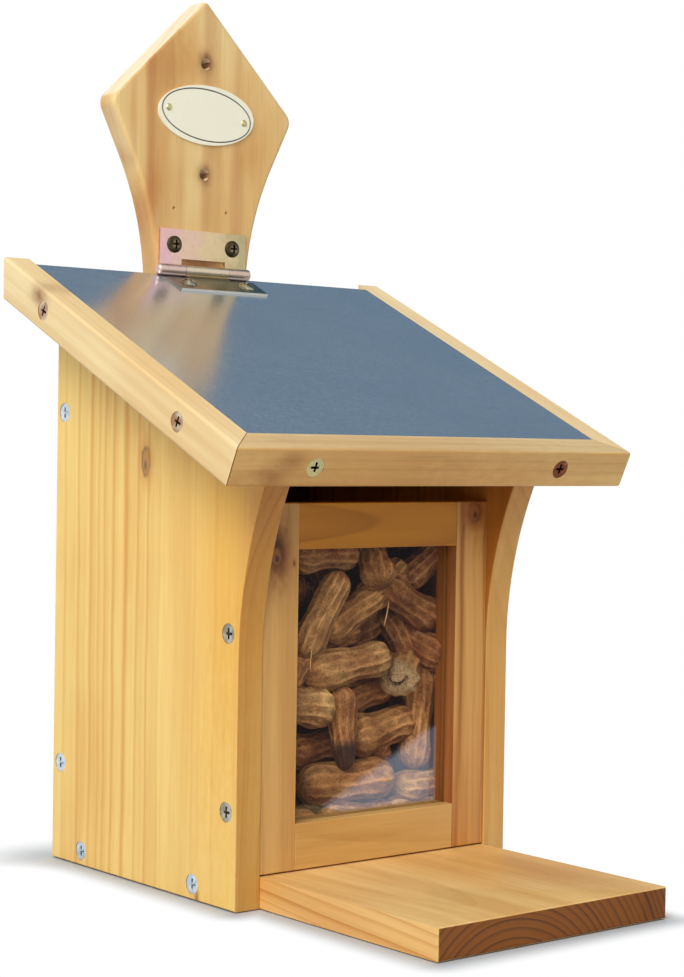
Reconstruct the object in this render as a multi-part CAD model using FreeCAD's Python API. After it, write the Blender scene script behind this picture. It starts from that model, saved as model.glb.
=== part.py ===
import FreeCAD, Part
import math
import os
import random

# A squirrel feeder of wood: a narrow box with a framed window, a floor that runs forward as
# the landing board, a sloping lid on a hinge, and a back board that goes on upwards as a
# diamond-headed hanger. Millimetres, +Z up, the front faces -Y. The origin is on the
# underside, midway between the side panels and midway along their depth.

# Box
box_width = 140.0
box_depth = 132.0
panel_thickness = 12.0
panel_front_height = 180.5
roof_slope = 25.0
flare_start = 95.0
flare_radius = 155.0
floor_thickness = 12.0
landing_reach = 102.0
back_thickness = 12.0
back_top_drop = 0.5

# Hanger, the upper part of the back board
hanger_offset = -3.8
hanger_width = 97.6
hanger_rise = 136.4
neck_width = 48.2
neck_straight = 7.0
neck_curve = 133.0
neck_flare = 26.0
hanger_corner = 6.0
hanger_tip = 2.5
neck_foot = 3.0
hole_radius = 2.5
hole_spacing = 48.5
hole_middle_rise = 83.8
pilot_mark_radius = 0.7
pilot_mark_depth = 2.5
pilot_mark_spacing = 28.0
pilot_mark_rise = 43.8
pilot_mark_shift = -1.8

# Window frame and pane
frame_setback = 0.5
frame_thickness = 12.0
frame_top = 155.0
frame_floor_gap = 0.6
stile_width = 17.0
rail_height = 18.0
pane_thickness = 2.0
pane_setback = 5.5
groove_depth = 4.0
groove_side_gap = 0.1
pane_edge_gap = 0.3
staple_crown = 11.0
staple_wire = 1.2
staple_leg = 8.0

# Lid
roof_width = 202.0
roof_front_reach = 38.1
roof_thickness = 12.0
sheet_thickness = 0.8
trim_width = 12.0
trim_height = 16.0
trim_back_setback = 7.4
roof_back_gap = 1.0
lid_clearance = 0.3
mitre_gap = 0.3

# Hinge
hinge_offset = -4.3
hinge_length = 46.0
leaf_reach = 18.0
leaf_thickness = 1.0
pin_radius = 1.5
pin_clearance = 0.05
middle_knuckle = 23.0
knuckle_gap = 0.15
notch_reach = 5.2
pin_head_radius = 2.4
pin_head_length = 2.4
pin_end_reach = 0.8
hinge_screw_spacing = 31.0
hinge_screw_reach = 11.3
leaf_hole_gap = 0.2

# Screws: heads, shanks and lengths
screw_head_radius = 3.9
screw_shank_radius = 1.5
screw_length = 24.0
screw_sink = 0.2
screw_rim = 0.4
screw_hole_gap = 0.05
hinge_screw_head_radius = 3.7
hinge_screw_head_height = 1.8
hinge_screw_shank_radius = 1.6
hinge_screw_length = 11.0
cross_length = 4.4
cross_width = 1.0
cross_depth = 1.9
cross_taper = 0.4

# Screw places
back_screw_heights = (41.0, 189.5)
frame_screw_heights = (37.2, 105.3)
floor_screw_depths = (28.2, 108.9)
trim_screw_inset = 38.0
trim_screw_back_inset = 32.5

# Oval plate
plate_width = 51.0
plate_height = 26.0
plate_thickness = 0.9
plate_tilt = -4.0
plate_shift = 0.5
plate_lift = 1.8
nail_spacing = 40.5
nail_radius = 0.6
nail_head_radius = 1.6
nail_head_height = 0.7
nail_length = 8.0

# Eased edges
panel_ease = 0.7
floor_ease = 0.8
frame_ease = 0.4
hanger_ease = 1.8
trim_ease = 1.3

# Nuts in their shells
nut_seed = 15
nut_fill_height = 149.0
nut_length_range = (37.0, 45.0)
nut_radius_range = (6.8, 7.8)
nut_waist = 0.22
nut_gap = 0.5
nut_wall_gap = 0.3
nut_pane_share = 0.4
nut_lean_limit = 72.0
nut_tries = 14
nut_settling_moves = 26
nut_balls = 9
nut_misses_allowed = 4

# The nuts that show best through the window, from the bottom up: place across, height to which
# the box is filled around each, distance behind the pane's side, lean and heading in degrees,
# length, radius of the lobes
window_nuts = (
    (-1.0, 42.0, 0.0, 3.0, 0.0, 44.0, 7.7),
    (25.0, 57.0, 4.0, 10.0, 62.0, 40.0, 7.8),
    (48.0, 63.0, 4.0, 72.0, 0.0, 42.0, 7.0),
    (1.5, 64.0, 0.0, 74.0, 30.0, 34.0, 6.9),
    (-37.0, 66.0, 0.0, -4.0, 0.0, 41.0, 7.5),
    (20.0, 72.0, 17.0, -4.0, 10.0, 41.0, 7.2),
    (33.5, 82.0, 2.0, 12.0, 51.0, 38.0, 7.8),
    (0.0, 88.0, 0.0, 8.0, 4.0, 45.0, 7.8),
    (51.0, 94.0, 19.0, 78.0, 10.0, 37.0, 7.2),
    (34.0, 99.0, 29.0, 68.0, 20.0, 37.0, 7.0),
    (-13.0, 105.0, 0.0, 52.0, 0.0, 45.0, 7.0),
    (14.0, 110.0, 15.0, 24.0, 6.0, 40.0, 7.5),
    (40.0, 110.0, 14.0, -26.0, 0.0, 42.0, 7.4),
    (32.0, 122.0, 30.0, -45.0, 10.0, 36.0, 7.2),
    (2.0, 128.0, 14.0, -8.0, 8.0, 42.0, 7.5),
)

Vec = FreeCAD.Vector
slope = math.radians(roof_slope)
x_axis = Vec(1, 0, 0)
half_width = box_width / 2
inner_half = half_width - panel_thickness
front_y = -box_depth / 2
back_y = box_depth / 2
back_front_y = back_y - back_thickness
knuckle_radius = pin_radius + leaf_thickness
roof_up = Vec(0, -math.sin(slope), math.cos(slope))
roof_back = Vec(0, math.cos(slope), math.sin(slope))
hinge_y = back_front_y - knuckle_radius


def panel_top(y):
    """Height of the side panels' sloping top at a depth y."""
    return panel_front_height + (y - front_y) * math.tan(slope)


roof_origin = Vec(0, front_y, panel_top(front_y) + lid_clearance / math.cos(slope))
roof_rise = roof_thickness + sheet_thickness
hinge_z = roof_origin.z + (hinge_y - front_y) * math.tan(slope)
hinge_z += (roof_rise + knuckle_radius) / math.cos(slope)
hinge_point = Vec(hinge_offset, hinge_y, hinge_z)
shoulder_height = panel_top(back_front_y) - back_top_drop
hole_middle_height = shoulder_height + hole_middle_rise


def block(low, high):
    """A box between two opposite corners."""
    return Part.makeBox(high[0] - low[0], high[1] - low[1], high[2] - low[2], Vec(*low))


def prism(corners, along):
    """A flat outline of straight edges, extruded along a vector."""
    wire = Part.makePolygon(corners + corners[:1])
    return Part.Face(wire).extrude(along)


def turned(profile):
    """A solid turned about +Z from (radius, height) points."""
    corners = [Vec(radius, 0, height) for radius, height in profile]
    face = Part.Face(Part.makePolygon(corners + corners[:1]))
    return face.revolve(Vec(), Vec(0, 0, 1), 360)


def placed(shape, origin, x_dir, y_dir, z_dir):
    """A copy with its own X, Y and Z laid along three directions at a point."""
    copy = shape.copy()
    copy.Placement = FreeCAD.Placement(origin, FreeCAD.Rotation(x_dir, y_dir, z_dir, "ZXY"))
    return copy


def aimed(shape, point, direction):
    """A copy with its own +Z along a direction at a point."""
    copy = shape.copy()
    turn = FreeCAD.Rotation(Vec(0, 0, 1), direction)
    copy.Placement = FreeCAD.Placement(point, turn)
    return copy


def on_roof(shape):
    """Lays a shape drawn flat, its Z from the roof board's underside, on the slope."""
    return placed(shape, roof_origin, x_axis, roof_back, roof_up)


def eased(shape, radius, chosen):
    """Rounds the edges that a test picks by their bounding box."""
    edges = [edge for edge in shape.Edges if chosen(edge.BoundBox)]
    return shape.makeFillet(radius, edges)


def near(a, b):
    return abs(a - b) < 1e-4


def export(name, shapes):
    """Writes one solid, or a group of separate ones, as a node."""
    group = shapes if isinstance(shapes, list) else [shapes]
    solids = [solid for shape in group for solid in shape.Solids]
    whole = solids[0] if len(solids) == 1 else Part.makeCompound(solids)
    if not whole.isValid():
        raise ValueError(name + " is not a valid shape")
    whole.exportStep("parts/" + name + ".step")
    print(name, len(solids), round(sum(solid.Volume for solid in solids), 1))


# Screws, drawn with the head's top at the origin and the point towards +Z

def cross_recess():
    """A tapered cross, cut into a screw's head."""
    half = cross_length / 2
    tip = half * cross_taper
    side = [Vec(-half, 0, 0), Vec(half, 0, 0), Vec(tip, 0, cross_depth), Vec(-tip, 0, cross_depth)]
    bar = prism(side, Vec(0, cross_width, 0))
    bar.translate(Vec(0, -cross_width / 2, 0))
    other = bar.rotated(Vec(), Vec(0, 0, 1), 90)
    return bar.fuse(other)


def countersunk_profile(gap):
    head = screw_head_radius + gap
    shank = screw_shank_radius + gap
    point = screw_length - 2 * screw_shank_radius
    return [(0, 0), (head, 0), (head, screw_rim), (shank, screw_rim + head - shank),
            (shank, point), (0, screw_length + gap)]


def wood_screw():
    return turned(countersunk_profile(0)).cut(cross_recess())


def wood_screw_hole():
    """The screw's own shape with its clearance, and the sink above its head."""
    sink = Part.makeCylinder(screw_head_radius + screw_hole_gap, 2 * screw_sink)
    sink.translate(Vec(0, 0, -2 * screw_sink))
    return turned(countersunk_profile(screw_hole_gap)).fuse(sink)


def hinge_screw():
    """A screw with a raised round head that stands on the leaf; the leaf's face is at Z=0."""
    dome_rise = hinge_screw_head_height - screw_rim
    ball = (hinge_screw_head_radius ** 2 + dome_rise ** 2) / (2 * dome_rise)
    head = Part.makeCylinder(hinge_screw_head_radius, hinge_screw_head_height)
    head.translate(Vec(0, 0, -hinge_screw_head_height))
    dome = Part.makeSphere(ball, Vec(0, 0, ball - hinge_screw_head_height))
    point = hinge_screw_length - 2 * hinge_screw_shank_radius
    radius = hinge_screw_shank_radius
    shank = turned([(0, 0), (radius, 0), (radius, point), (0, hinge_screw_length)])
    recess = cross_recess()
    recess.translate(Vec(0, 0, -hinge_screw_head_height))
    return head.common(dome).fuse(shank).cut(recess).removeSplitter()


def hinge_screw_hole(radius):
    return Part.makeCylinder(radius, hinge_screw_length + screw_hole_gap)


# Where the screws of the box go

def side_screw_points(side, depths_and_heights):
    """Head centres on one side panel, sunk a little under its face."""
    face_x = side * (half_width - screw_sink)
    return [Vec(face_x, y, z) for y, z in depths_and_heights]


frame_front_y = front_y + frame_setback
frame_back_y = frame_front_y + frame_thickness
back_middle_y = back_y - back_thickness / 2
frame_middle_y = frame_front_y + frame_thickness / 2
screw_rows = {
    "back": [(back_middle_y, z) for z in back_screw_heights],
    "frame": [(frame_middle_y, z) for z in frame_screw_heights],
    "floor": [(front_y + depth, floor_thickness / 2) for depth in floor_screw_depths],
}


def side_screws(shape, side, row):
    """Copies of a screw, or of its hole, for one row on one side."""
    inwards = Vec(-side, 0, 0)
    return [aimed(shape, point, inwards) for point in side_screw_points(side, screw_rows[row])]


def drilled(board, *rows):
    """A board with the holes of some rows of side screws, on both sides."""
    hole = wood_screw_hole()
    for row in rows:
        for side in (-1, 1):
            for cutter in side_screws(hole, side, row):
                board = board.cut(cutter)
    return board


# Wooden box

def side_panel(side):
    """A panel with a sloping top and a front edge that curves out under the roof."""
    rise = panel_front_height - flare_start
    steep = math.tan(slope)
    run = flare_radius + rise * steep
    flare = (run - math.sqrt(run ** 2 - (1 + steep ** 2) * rise ** 2)) / (1 + steep ** 2)
    tip_y = front_y - flare
    turn = math.asin((panel_top(tip_y) - flare_start) / flare_radius) / 2
    middle = Vec(0, front_y - flare_radius * (1 - math.cos(turn)),
                 flare_start + flare_radius * math.sin(turn))
    tip = Vec(0, tip_y, panel_top(tip_y))
    foot = Vec(0, front_y, flare_start)
    curve = Part.Arc(tip, middle, foot).toShape()
    rest = Part.makePolygon([foot, Vec(0, front_y, 0), Vec(0, back_y, 0),
                             Vec(0, back_y, panel_top(back_y)), tip])
    outline = Part.Wire([curve] + rest.Edges)
    board = Part.Face(outline).extrude(Vec(panel_thickness, 0, 0))
    rear_top = panel_top(back_y)
    board = eased(board, panel_ease, lambda b: near(b.XMin, b.XMax)
                  and (b.ZMax < rear_top - 1 or near(b.YMin, b.YMax)))
    board.translate(Vec(-half_width if side < 0 else inner_half, 0, 0))
    return drilled(board, "back", "frame", "floor")


def floor_board():
    low = (-inner_half, front_y - landing_reach, 0)
    high = (inner_half, back_front_y, floor_thickness)
    board = block(low, high)
    board = eased(board, floor_ease, lambda b: near(b.YMin, b.YMax) and near(b.YMax, low[1]))
    return drilled(board, "floor")


def hanger_outline():
    """Neck and diamond head, as a wire that starts at the neck's right foot."""
    foot_z = shoulder_height
    neck_top = foot_z + neck_straight
    bend = math.radians(neck_flare)
    neck = neck_width / 2
    bent_x = neck + neck_curve * (1 - math.cos(bend))
    bent_z = neck_top + neck_curve * math.sin(bend)
    corner_x = hanger_width / 2
    corner_z = bent_z + (corner_x - bent_x) / math.tan(bend)
    middle_x = neck + neck_curve * (1 - math.cos(bend / 2))
    middle_z = neck_top + neck_curve * math.sin(bend / 2)

    def at(x, z):
        return Vec(hanger_offset + x, back_front_y, z)

    edges = []
    for side in (1, -1):
        straight = Part.makePolygon([at(side * neck, foot_z), at(side * neck, neck_top)])
        curve = Part.Arc(at(side * neck, neck_top), at(side * middle_x, middle_z),
                         at(side * bent_x, bent_z)).toShape()
        upper = Part.makePolygon([at(side * bent_x, bent_z), at(side * corner_x, corner_z),
                                  at(0, foot_z + hanger_rise)])
        edges += straight.Edges + [curve] + upper.Edges
    wide = Part.makePolygon([at(-neck, foot_z),
                             Vec(-inner_half, back_front_y, foot_z),
                             Vec(-inner_half, back_front_y, 0),
                             Vec(inner_half, back_front_y, 0),
                             Vec(inner_half, back_front_y, foot_z),
                             at(neck, foot_z)])
    loops = Part.sortEdges(edges + wide.Edges)
    return Part.Wire(loops[0]), corner_z


def back_board():
    outline, corner_z = hanger_outline()
    foot_z = shoulder_height
    board = Part.Face(outline).extrude(Vec(0, back_thickness, 0))

    def across(b):
        return b.YMax - b.YMin > back_thickness / 2 and near(b.ZMin, b.ZMax)

    board = eased(board, hanger_corner, lambda b: across(b) and near(b.ZMin, corner_z))
    board = eased(board, hanger_tip, lambda b: across(b) and near(b.ZMin, foot_z + hanger_rise))
    neck = neck_width / 2
    board = eased(board, neck_foot, lambda b: across(b) and near(b.ZMin, foot_z)
                  and near(abs(b.XMin - hanger_offset), neck))
    board = eased(board, hanger_ease, lambda b: near(b.YMin, b.YMax)
                  and b.ZMin > foot_z + neck_straight - 1)
    drill_depth = back_thickness + 2
    for side in (-0.5, 0.5):
        height = hole_middle_height + side * hole_spacing
        hole = Part.makeCylinder(hole_radius, drill_depth)
        board = board.cut(aimed(hole, Vec(hanger_offset, back_y + 1, height), Vec(0, -1, 0)))
        mark = Part.makeCylinder(pilot_mark_radius, pilot_mark_depth)
        mark_x = hanger_offset + pilot_mark_shift + side * pilot_mark_spacing
        mark_place = Vec(mark_x, back_front_y, foot_z + pilot_mark_rise)
        board = board.cut(aimed(mark, mark_place, Vec(0, 1, 0)))
    for cutter in upper_screws(hinge_screw_hole(hinge_screw_shank_radius + screw_hole_gap)):
        board = board.cut(cutter)
    for cutter in nails_in_place(Part.makeCylinder(nail_radius + screw_hole_gap, nail_length)):
        board = board.cut(cutter)
    return drilled(board, "back")


# Window

opening_half = inner_half - stile_width
frame_bottom = floor_thickness + frame_floor_gap
opening_bottom = frame_bottom + rail_height
opening_top = frame_top - rail_height
pane_front_y = frame_front_y + pane_setback


def pane_pocket():
    """The groove that runs round the opening, as one flat block."""
    return block((-opening_half - groove_depth, pane_front_y - groove_side_gap,
                  opening_bottom - groove_depth),
                 (opening_half + groove_depth, pane_front_y + pane_thickness + groove_side_gap,
                  opening_top + groove_depth))


def staple(gap):
    """A wire staple: the crown lies on the frame's back, the legs go forward into the wood."""
    half = staple_crown / 2
    wire = staple_wire / 2 + gap
    crown = block((-half - wire, 0, -wire), (half + wire, staple_wire, wire))
    legs = [block((side * half - wire, -staple_leg - gap, -wire),
                  (side * half + wire, staple_wire / 2, wire)) for side in (-1, 1)]
    return crown.multiFuse(legs).removeSplitter()


def frame_staples(gap):
    """One staple across each joint of a rail and an upright."""
    places = []
    for side in (-1, 1):
        for height in (opening_bottom - rail_height / 2, opening_top + rail_height / 2):
            copy = staple(gap)
            copy.translate(Vec(side * opening_half, frame_back_y, height))
            places.append(copy)
    return places


def frame_member(low, high):
    """One bar of the frame, with eased front edges, its share of the groove and its holes."""
    bar = block((low[0], frame_front_y, low[1]), (high[0], frame_back_y, high[1]))
    bar = eased(bar, frame_ease, lambda b: near(b.YMin, b.YMax) and near(b.YMin, frame_front_y))
    bar = bar.cut(pane_pocket())
    for cutter in frame_staples(screw_hole_gap):
        bar = bar.cut(cutter)
    return drilled(bar, "frame")


def window_pane():
    reach = groove_depth - pane_edge_gap
    return block((-opening_half - reach, pane_front_y, opening_bottom - reach),
                 (opening_half + reach, pane_front_y + pane_thickness, opening_top + reach))


# Lid, drawn flat in (x, distance up the slope, height over the roof board's underside)

roof_half = roof_width / 2
board_half = roof_half - trim_width
trim_low = roof_rise - trim_height
trim_end_y = back_y - trim_back_setback
sheet_end_y = back_front_y - roof_back_gap
spare = 2 * trim_height


def cut_plumb(shape, y):
    """Cuts off, upright, what lies behind a depth."""
    box = shape.BoundBox
    behind = block((box.XMin - 1, y, box.ZMin - 1), (box.XMax + 1, box.YMax + 1, box.ZMax + 1))
    return shape.cut(behind)


def slope_length(y):
    """Distance up the slope from the panels' straight front to a depth, on the underside."""
    return (y - front_y) / math.cos(slope)


def roof_layer(bottom, top):
    """A flat layer of the lid between the trims, from the front trim to the hanger."""
    layer = block((-board_half, trim_width - roof_front_reach, bottom),
                  (board_half, slope_length(sheet_end_y) + spare, top))
    return cut_plumb(on_roof(layer), sheet_end_y)


def side_trim(side):
    """A batten along one side, mitred at the front and cut plumb at the back."""
    front = -roof_front_reach
    gap = mitre_gap / math.sqrt(2)
    end = slope_length(trim_end_y) + spare
    outer = side * roof_half
    inner = side * board_half
    plan = [Vec(outer, front + gap, trim_low), Vec(inner, front + trim_width + gap, trim_low),
            Vec(inner, end, trim_low), Vec(outer, end, trim_low)]
    bar = prism(plan, Vec(0, 0, trim_height))
    bar = eased(bar, trim_ease, lambda b: near(b.XMin, b.XMax) and near(b.XMin, outer)
                and near(b.ZMin, b.ZMax))
    bar = cut_plumb(on_roof(bar), trim_end_y)
    for cutter in trim_screws(wood_screw_hole(), side):
        bar = bar.cut(cutter)
    return bar


def front_trim():
    front = -roof_front_reach
    gap = mitre_gap / math.sqrt(2)
    plan = [Vec(-roof_half + gap, front, trim_low), Vec(roof_half - gap, front, trim_low),
            Vec(board_half - gap, front + trim_width, trim_low),
            Vec(-board_half + gap, front + trim_width, trim_low)]
    bar = prism(plan, Vec(0, 0, trim_height))
    bar = on_roof(eased(bar, trim_ease, lambda b: near(b.YMin, b.YMax) and near(b.YMin, front)
                        and near(b.ZMin, b.ZMax)))
    for cutter in trim_screws(wood_screw_hole(), 0):
        bar = bar.cut(cutter)
    return bar


def trim_screws(shape, side):
    """Copies of a screw, or of its hole, along the trim of one side; 0 is the front."""
    height = (trim_low + roof_rise) / 2
    if side:
        face = side * (roof_half - screw_sink)
        first = trim_screw_inset - roof_front_reach
        last = slope_length(trim_end_y) - trim_screw_back_inset
        return [on_roof_aimed(shape, Vec(face, s, height), Vec(-side, 0, 0))
                for s in (first, last)]
    across = roof_half - trim_screw_inset
    return [on_roof_aimed(shape, Vec(x, screw_sink - roof_front_reach, height), Vec(0, 1, 0))
            for x in (-across, across)]


def on_roof_aimed(shape, point, direction):
    """Aims a shape in the lid's flat drawing, then lays it on the slope."""
    turn = FreeCAD.Rotation(Vec(0, 0, 1), direction)
    flat = FreeCAD.Placement(point, turn)
    lay = FreeCAD.Placement(roof_origin, FreeCAD.Rotation(x_axis, roof_back, roof_up, "ZXY"))
    copy = shape.copy()
    copy.Placement = lay.multiply(flat)
    return copy


def roof_board():
    board = roof_layer(0, roof_thickness)
    for side in (-1, 0, 1):
        for cutter in trim_screws(wood_screw_hole(), side):
            board = board.cut(cutter)
    for cutter in lower_screws(hinge_screw_hole(hinge_screw_shank_radius + screw_hole_gap)):
        board = board.cut(cutter)
    return board


def roof_sheet():
    sheet = roof_layer(roof_thickness, roof_rise)
    for cutter in lower_screws(hinge_screw_hole(hinge_screw_shank_radius + leaf_hole_gap)):
        sheet = sheet.cut(cutter)
    return sheet


# Hinge, each leaf drawn with the pin along X, the plate along +Y and its back at -Z

def leaf_plate():
    half = hinge_length / 2
    return block((-half, 0, -knuckle_radius), (half, leaf_reach, leaf_thickness - knuckle_radius))


def knuckle(start, end):
    """The tube from one place along the pin to another."""
    return Part.makeCylinder(knuckle_radius, end - start, Vec(start, 0, 0), x_axis)


def hinge_leaf(spans, notches):
    """A plate with its knuckles, cut free where the other leaf's knuckles turn."""
    leaf = leaf_plate()
    clear = notch_reach + knuckle_radius
    for start, end in notches:
        leaf = leaf.cut(block((start, -clear, -clear), (end, notch_reach, clear)))
    leaf = leaf.multiFuse([knuckle(start, end) for start, end in spans])
    bore = Part.makeCylinder(pin_radius + pin_clearance, hinge_length + 2,
                             Vec(-hinge_length / 2 - 1, 0, 0), x_axis)
    leaf = leaf.cut(bore)
    hole = Part.makeCylinder(hinge_screw_shank_radius + leaf_hole_gap, 2 * leaf_thickness)
    for side in (-1, 1):
        centre = Vec(side * hinge_screw_spacing / 2, hinge_screw_reach, -knuckle_radius)
        leaf = leaf.cut(hole.translated(centre - Vec(0, 0, leaf_thickness / 2)))
    return leaf.removeSplitter()


def upper_leaf_place(shape):
    """Upright against the hanger's front face."""
    return placed(shape, hinge_point, x_axis, Vec(0, 0, 1), Vec(0, -1, 0))


def lower_leaf_place(shape):
    """Down the slope on the roof sheet."""
    return placed(shape, hinge_point, -x_axis, -roof_back, roof_up)


def leaf_screw_points(place_y, away):
    """Screw places on a leaf's outer face, from its plate's direction and normal."""
    lift = leaf_thickness - knuckle_radius
    return [hinge_point + x_axis * (side * hinge_screw_spacing / 2)
            + place_y * hinge_screw_reach + away * lift for side in (-1, 1)]


def upper_screws(shape):
    away = Vec(0, -1, 0)
    return [aimed(shape, point, -away) for point in leaf_screw_points(Vec(0, 0, 1), away)]


def lower_screws(shape):
    return [aimed(shape, point, -roof_up) for point in leaf_screw_points(-roof_back, roof_up)]


def upper_leaf():
    half = hinge_length / 2
    middle = middle_knuckle / 2 + knuckle_gap
    leaf = hinge_leaf([(-half, -middle), (middle, half)], [(-middle, middle)])
    return upper_leaf_place(leaf)


def lower_leaf():
    half = hinge_length / 2
    middle = middle_knuckle / 2
    leaf = hinge_leaf([(-middle, middle)], [(-half - 1, -middle), (middle, half + 1)])
    return lower_leaf_place(leaf)


def hinge_pin():
    """A rod with a domed head at the left and a rounded end at the right."""
    half = hinge_length / 2
    rod = Part.makeCylinder(pin_radius, hinge_length + pin_end_reach, Vec(-half, 0, 0), x_axis)
    end = half + pin_end_reach
    rod = eased(rod, pin_radius / 2, lambda b: near(b.XMin, end) and near(b.XMax, end))
    head = Part.makeCylinder(pin_head_radius, pin_head_length,
                             Vec(-half - pin_head_length, 0, 0), x_axis)
    head_end = -half - pin_head_length
    head = eased(head, pin_head_length * 0.6,
                 lambda b: near(b.XMin, head_end) and near(b.XMax, head_end))
    pin = rod.fuse(head).removeSplitter()
    pin.translate(hinge_point)
    return pin


# Oval plate

plate_centre = Vec(hanger_offset + plate_shift, back_front_y, hole_middle_height + plate_lift)


def nails_in_place(shape):
    """Copies of a nail, or of its hole, with the head's underside on the plate's face."""
    tilt = math.radians(plate_tilt)
    copies = []
    for side in (-0.5, 0.5):
        offset = Vec(math.cos(tilt), 0, math.sin(tilt)) * (side * nail_spacing)
        point = plate_centre + offset - Vec(0, plate_thickness, 0)
        copies.append(aimed(shape, point, Vec(0, 1, 0)))
    return copies


def oval_plate():
    ellipse = Part.Ellipse(Vec(), plate_width / 2, plate_height / 2).toShape()
    plate = Part.Face(Part.Wire(ellipse)).extrude(Vec(0, 0, plate_thickness))
    plate = plate.rotated(Vec(), Vec(0, 0, 1), plate_tilt)
    plate = placed(plate, plate_centre, x_axis, Vec(0, 0, 1), Vec(0, -1, 0))
    for cutter in nails_in_place(Part.makeCylinder(nail_radius + screw_hole_gap, nail_length)):
        plate = plate.cut(cutter)
    return plate


def nail():
    """A small nail with a domed head; the head's underside is at Z=0."""
    ball = (nail_head_radius ** 2 + nail_head_height ** 2) / (2 * nail_head_height)
    dome = Part.makeSphere(ball, Vec(0, 0, ball - nail_head_height))
    head = Part.makeCylinder(nail_head_radius, nail_head_height)
    head.translate(Vec(0, 0, -nail_head_height))
    point = nail_length - 2 * nail_radius
    rod = turned([(0, 0), (nail_radius, 0), (nail_radius, point), (0, nail_length)])
    return head.common(dome).fuse(rod).removeSplitter()


# Nuts: two-lobed shells, let down one after another on those below

class Nut:
    """A shell of two round lobes and a narrower waist, leaning and turned in the box."""

    def __init__(self, length, radius, lean, heading, x, y, at_pane):
        self.length = length
        self.radius = radius
        self.lean = lean
        self.heading = heading
        self.at_pane = at_pane
        level = math.cos(math.radians(self.lean))
        self.direction = Vec(level * math.cos(math.radians(heading)),
                             level * math.sin(math.radians(heading)),
                             math.sin(math.radians(self.lean)))
        self.lobe = length / 2 - radius
        wide = abs(self.direction.x) * self.lobe + radius + nut_wall_gap
        deep = abs(self.direction.y) * self.lobe + radius + nut_wall_gap
        low_y = frame_back_y + staple_wire + deep
        self.x = max(wide - inner_half, min(inner_half - wide, x))
        self.y = low_y if at_pane else max(low_y, min(back_front_y - deep, y))
        self.rise = abs(self.direction.z) * self.lobe + radius
        self.height = 0

    def waist(self):
        """Radius at the waist, and of the hollow that blends the lobes."""
        narrow = self.radius * (1 - nut_waist)
        hollow = (self.lobe ** 2 + narrow ** 2 - self.radius ** 2) / (2 * (self.radius - narrow))
        return narrow, hollow

    def balls(self):
        """Balls along the shell that fill it closely, as offsets from its middle and radii."""
        narrow, hollow = self.waist()
        found = []
        for i in range(nut_balls):
            along = self.lobe * (2 * i / (nut_balls - 1) - 1)
            ball = min(self.radius, narrow + hollow - math.sqrt(hollow ** 2 - along ** 2))
            found.append((self.direction * along, ball))
        return found

    def shell(self):
        """The solid, turned from round arcs."""
        narrow, hollow = self.waist()
        share = self.radius / (self.radius + hollow)
        join_x = self.lobe * (1 - share)
        join_z = (narrow + hollow) * share
        half = math.atan2(join_z, join_x - self.lobe) / 2
        middle_x = self.lobe + self.radius * math.cos(half)
        middle_z = self.radius * math.sin(half)
        end = self.length / 2
        right = Part.Arc(Vec(end, 0, 0), Vec(middle_x, 0, middle_z), Vec(join_x, 0, join_z))
        neck = Part.Arc(Vec(join_x, 0, join_z), Vec(0, 0, narrow), Vec(-join_x, 0, join_z))
        left = Part.Arc(Vec(-join_x, 0, join_z), Vec(-middle_x, 0, middle_z), Vec(-end, 0, 0))
        axis = Part.LineSegment(Vec(-end, 0, 0), Vec(end, 0, 0))
        outline = Part.Wire([curve.toShape() for curve in (right, neck, left, axis)])
        solid = Part.Face(outline).revolve(Vec(), x_axis, 360)
        solid.Placement = FreeCAD.Placement(Vec(self.x, self.y, self.height),
                                            FreeCAD.Rotation(x_axis, self.direction))
        return solid

    def thrown(self, pick):
        """The same shell at some other place and heading."""
        heading = pick.uniform(-20, 20) if self.at_pane else pick.uniform(0, 180)
        return Nut(self.length, self.radius, self.lean, heading,
                   pick.uniform(-inner_half, inner_half), pick.uniform(frame_back_y, back_front_y),
                   self.at_pane)

    def nudged(self, pick, amount):
        """The same shell, shifted and turned a little."""
        lean_step = 4 if self.at_pane else 15
        lean = self.lean + pick.uniform(-1, 1) * lean_step * amount
        lean = max(-nut_lean_limit, min(nut_lean_limit, lean))
        return Nut(self.length, self.radius, lean, self.heading + pick.uniform(-15, 15) * amount,
                   self.x + pick.uniform(-5, 5) * amount, self.y + pick.uniform(-5, 5) * amount,
                   self.at_pane)


class Heap:
    """The balls of the nuts that lie in the box, kept in upright columns for quick tests."""

    column = 8.0

    def __init__(self):
        self.columns = {}

    def add(self, nut):
        for offset, ball in nut.balls():
            x = nut.x + offset.x
            y = nut.y + offset.y
            reach = ball + nut_radius_range[1] + nut_gap
            for i in range(int((x - reach) // self.column), int((x + reach) // self.column) + 1):
                low = int((y - reach) // self.column)
                high = int((y + reach) // self.column)
                for j in range(low, high + 1):
                    entry = (x, y, nut.height + offset.z, ball)
                    self.columns.setdefault((i, j), []).append(entry)

    def let_down(self, nut):
        """Sets the height at which a nut, let down at its place, first touches."""
        height = nut.rise + floor_thickness + nut_wall_gap
        for offset, ball in nut.balls():
            x = nut.x + offset.x
            y = nut.y + offset.y
            key = (int(x // self.column), int(y // self.column))
            for other_x, other_y, other_z, other in self.columns.get(key, ()):
                together = ball + other + nut_gap
                if other_z + together - offset.z <= height:
                    continue
                apart = (x - other_x) ** 2 + (y - other_y) ** 2
                if apart < together ** 2:
                    touch = other_z + math.sqrt(together ** 2 - apart) - offset.z
                    height = max(height, touch)
        nut.height = height
        return nut


def picked_nut(pick, at_pane):
    """A nut of some size and lean, for the front layer at the pane or for behind it."""
    lean = pick.uniform(-nut_lean_limit, nut_lean_limit)
    if not at_pane:
        lean = pick.triangular(-nut_lean_limit, nut_lean_limit, 0)
    return Nut(pick.uniform(*nut_length_range), pick.uniform(*nut_radius_range), lean, 0, 0, 0,
               at_pane)


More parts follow.
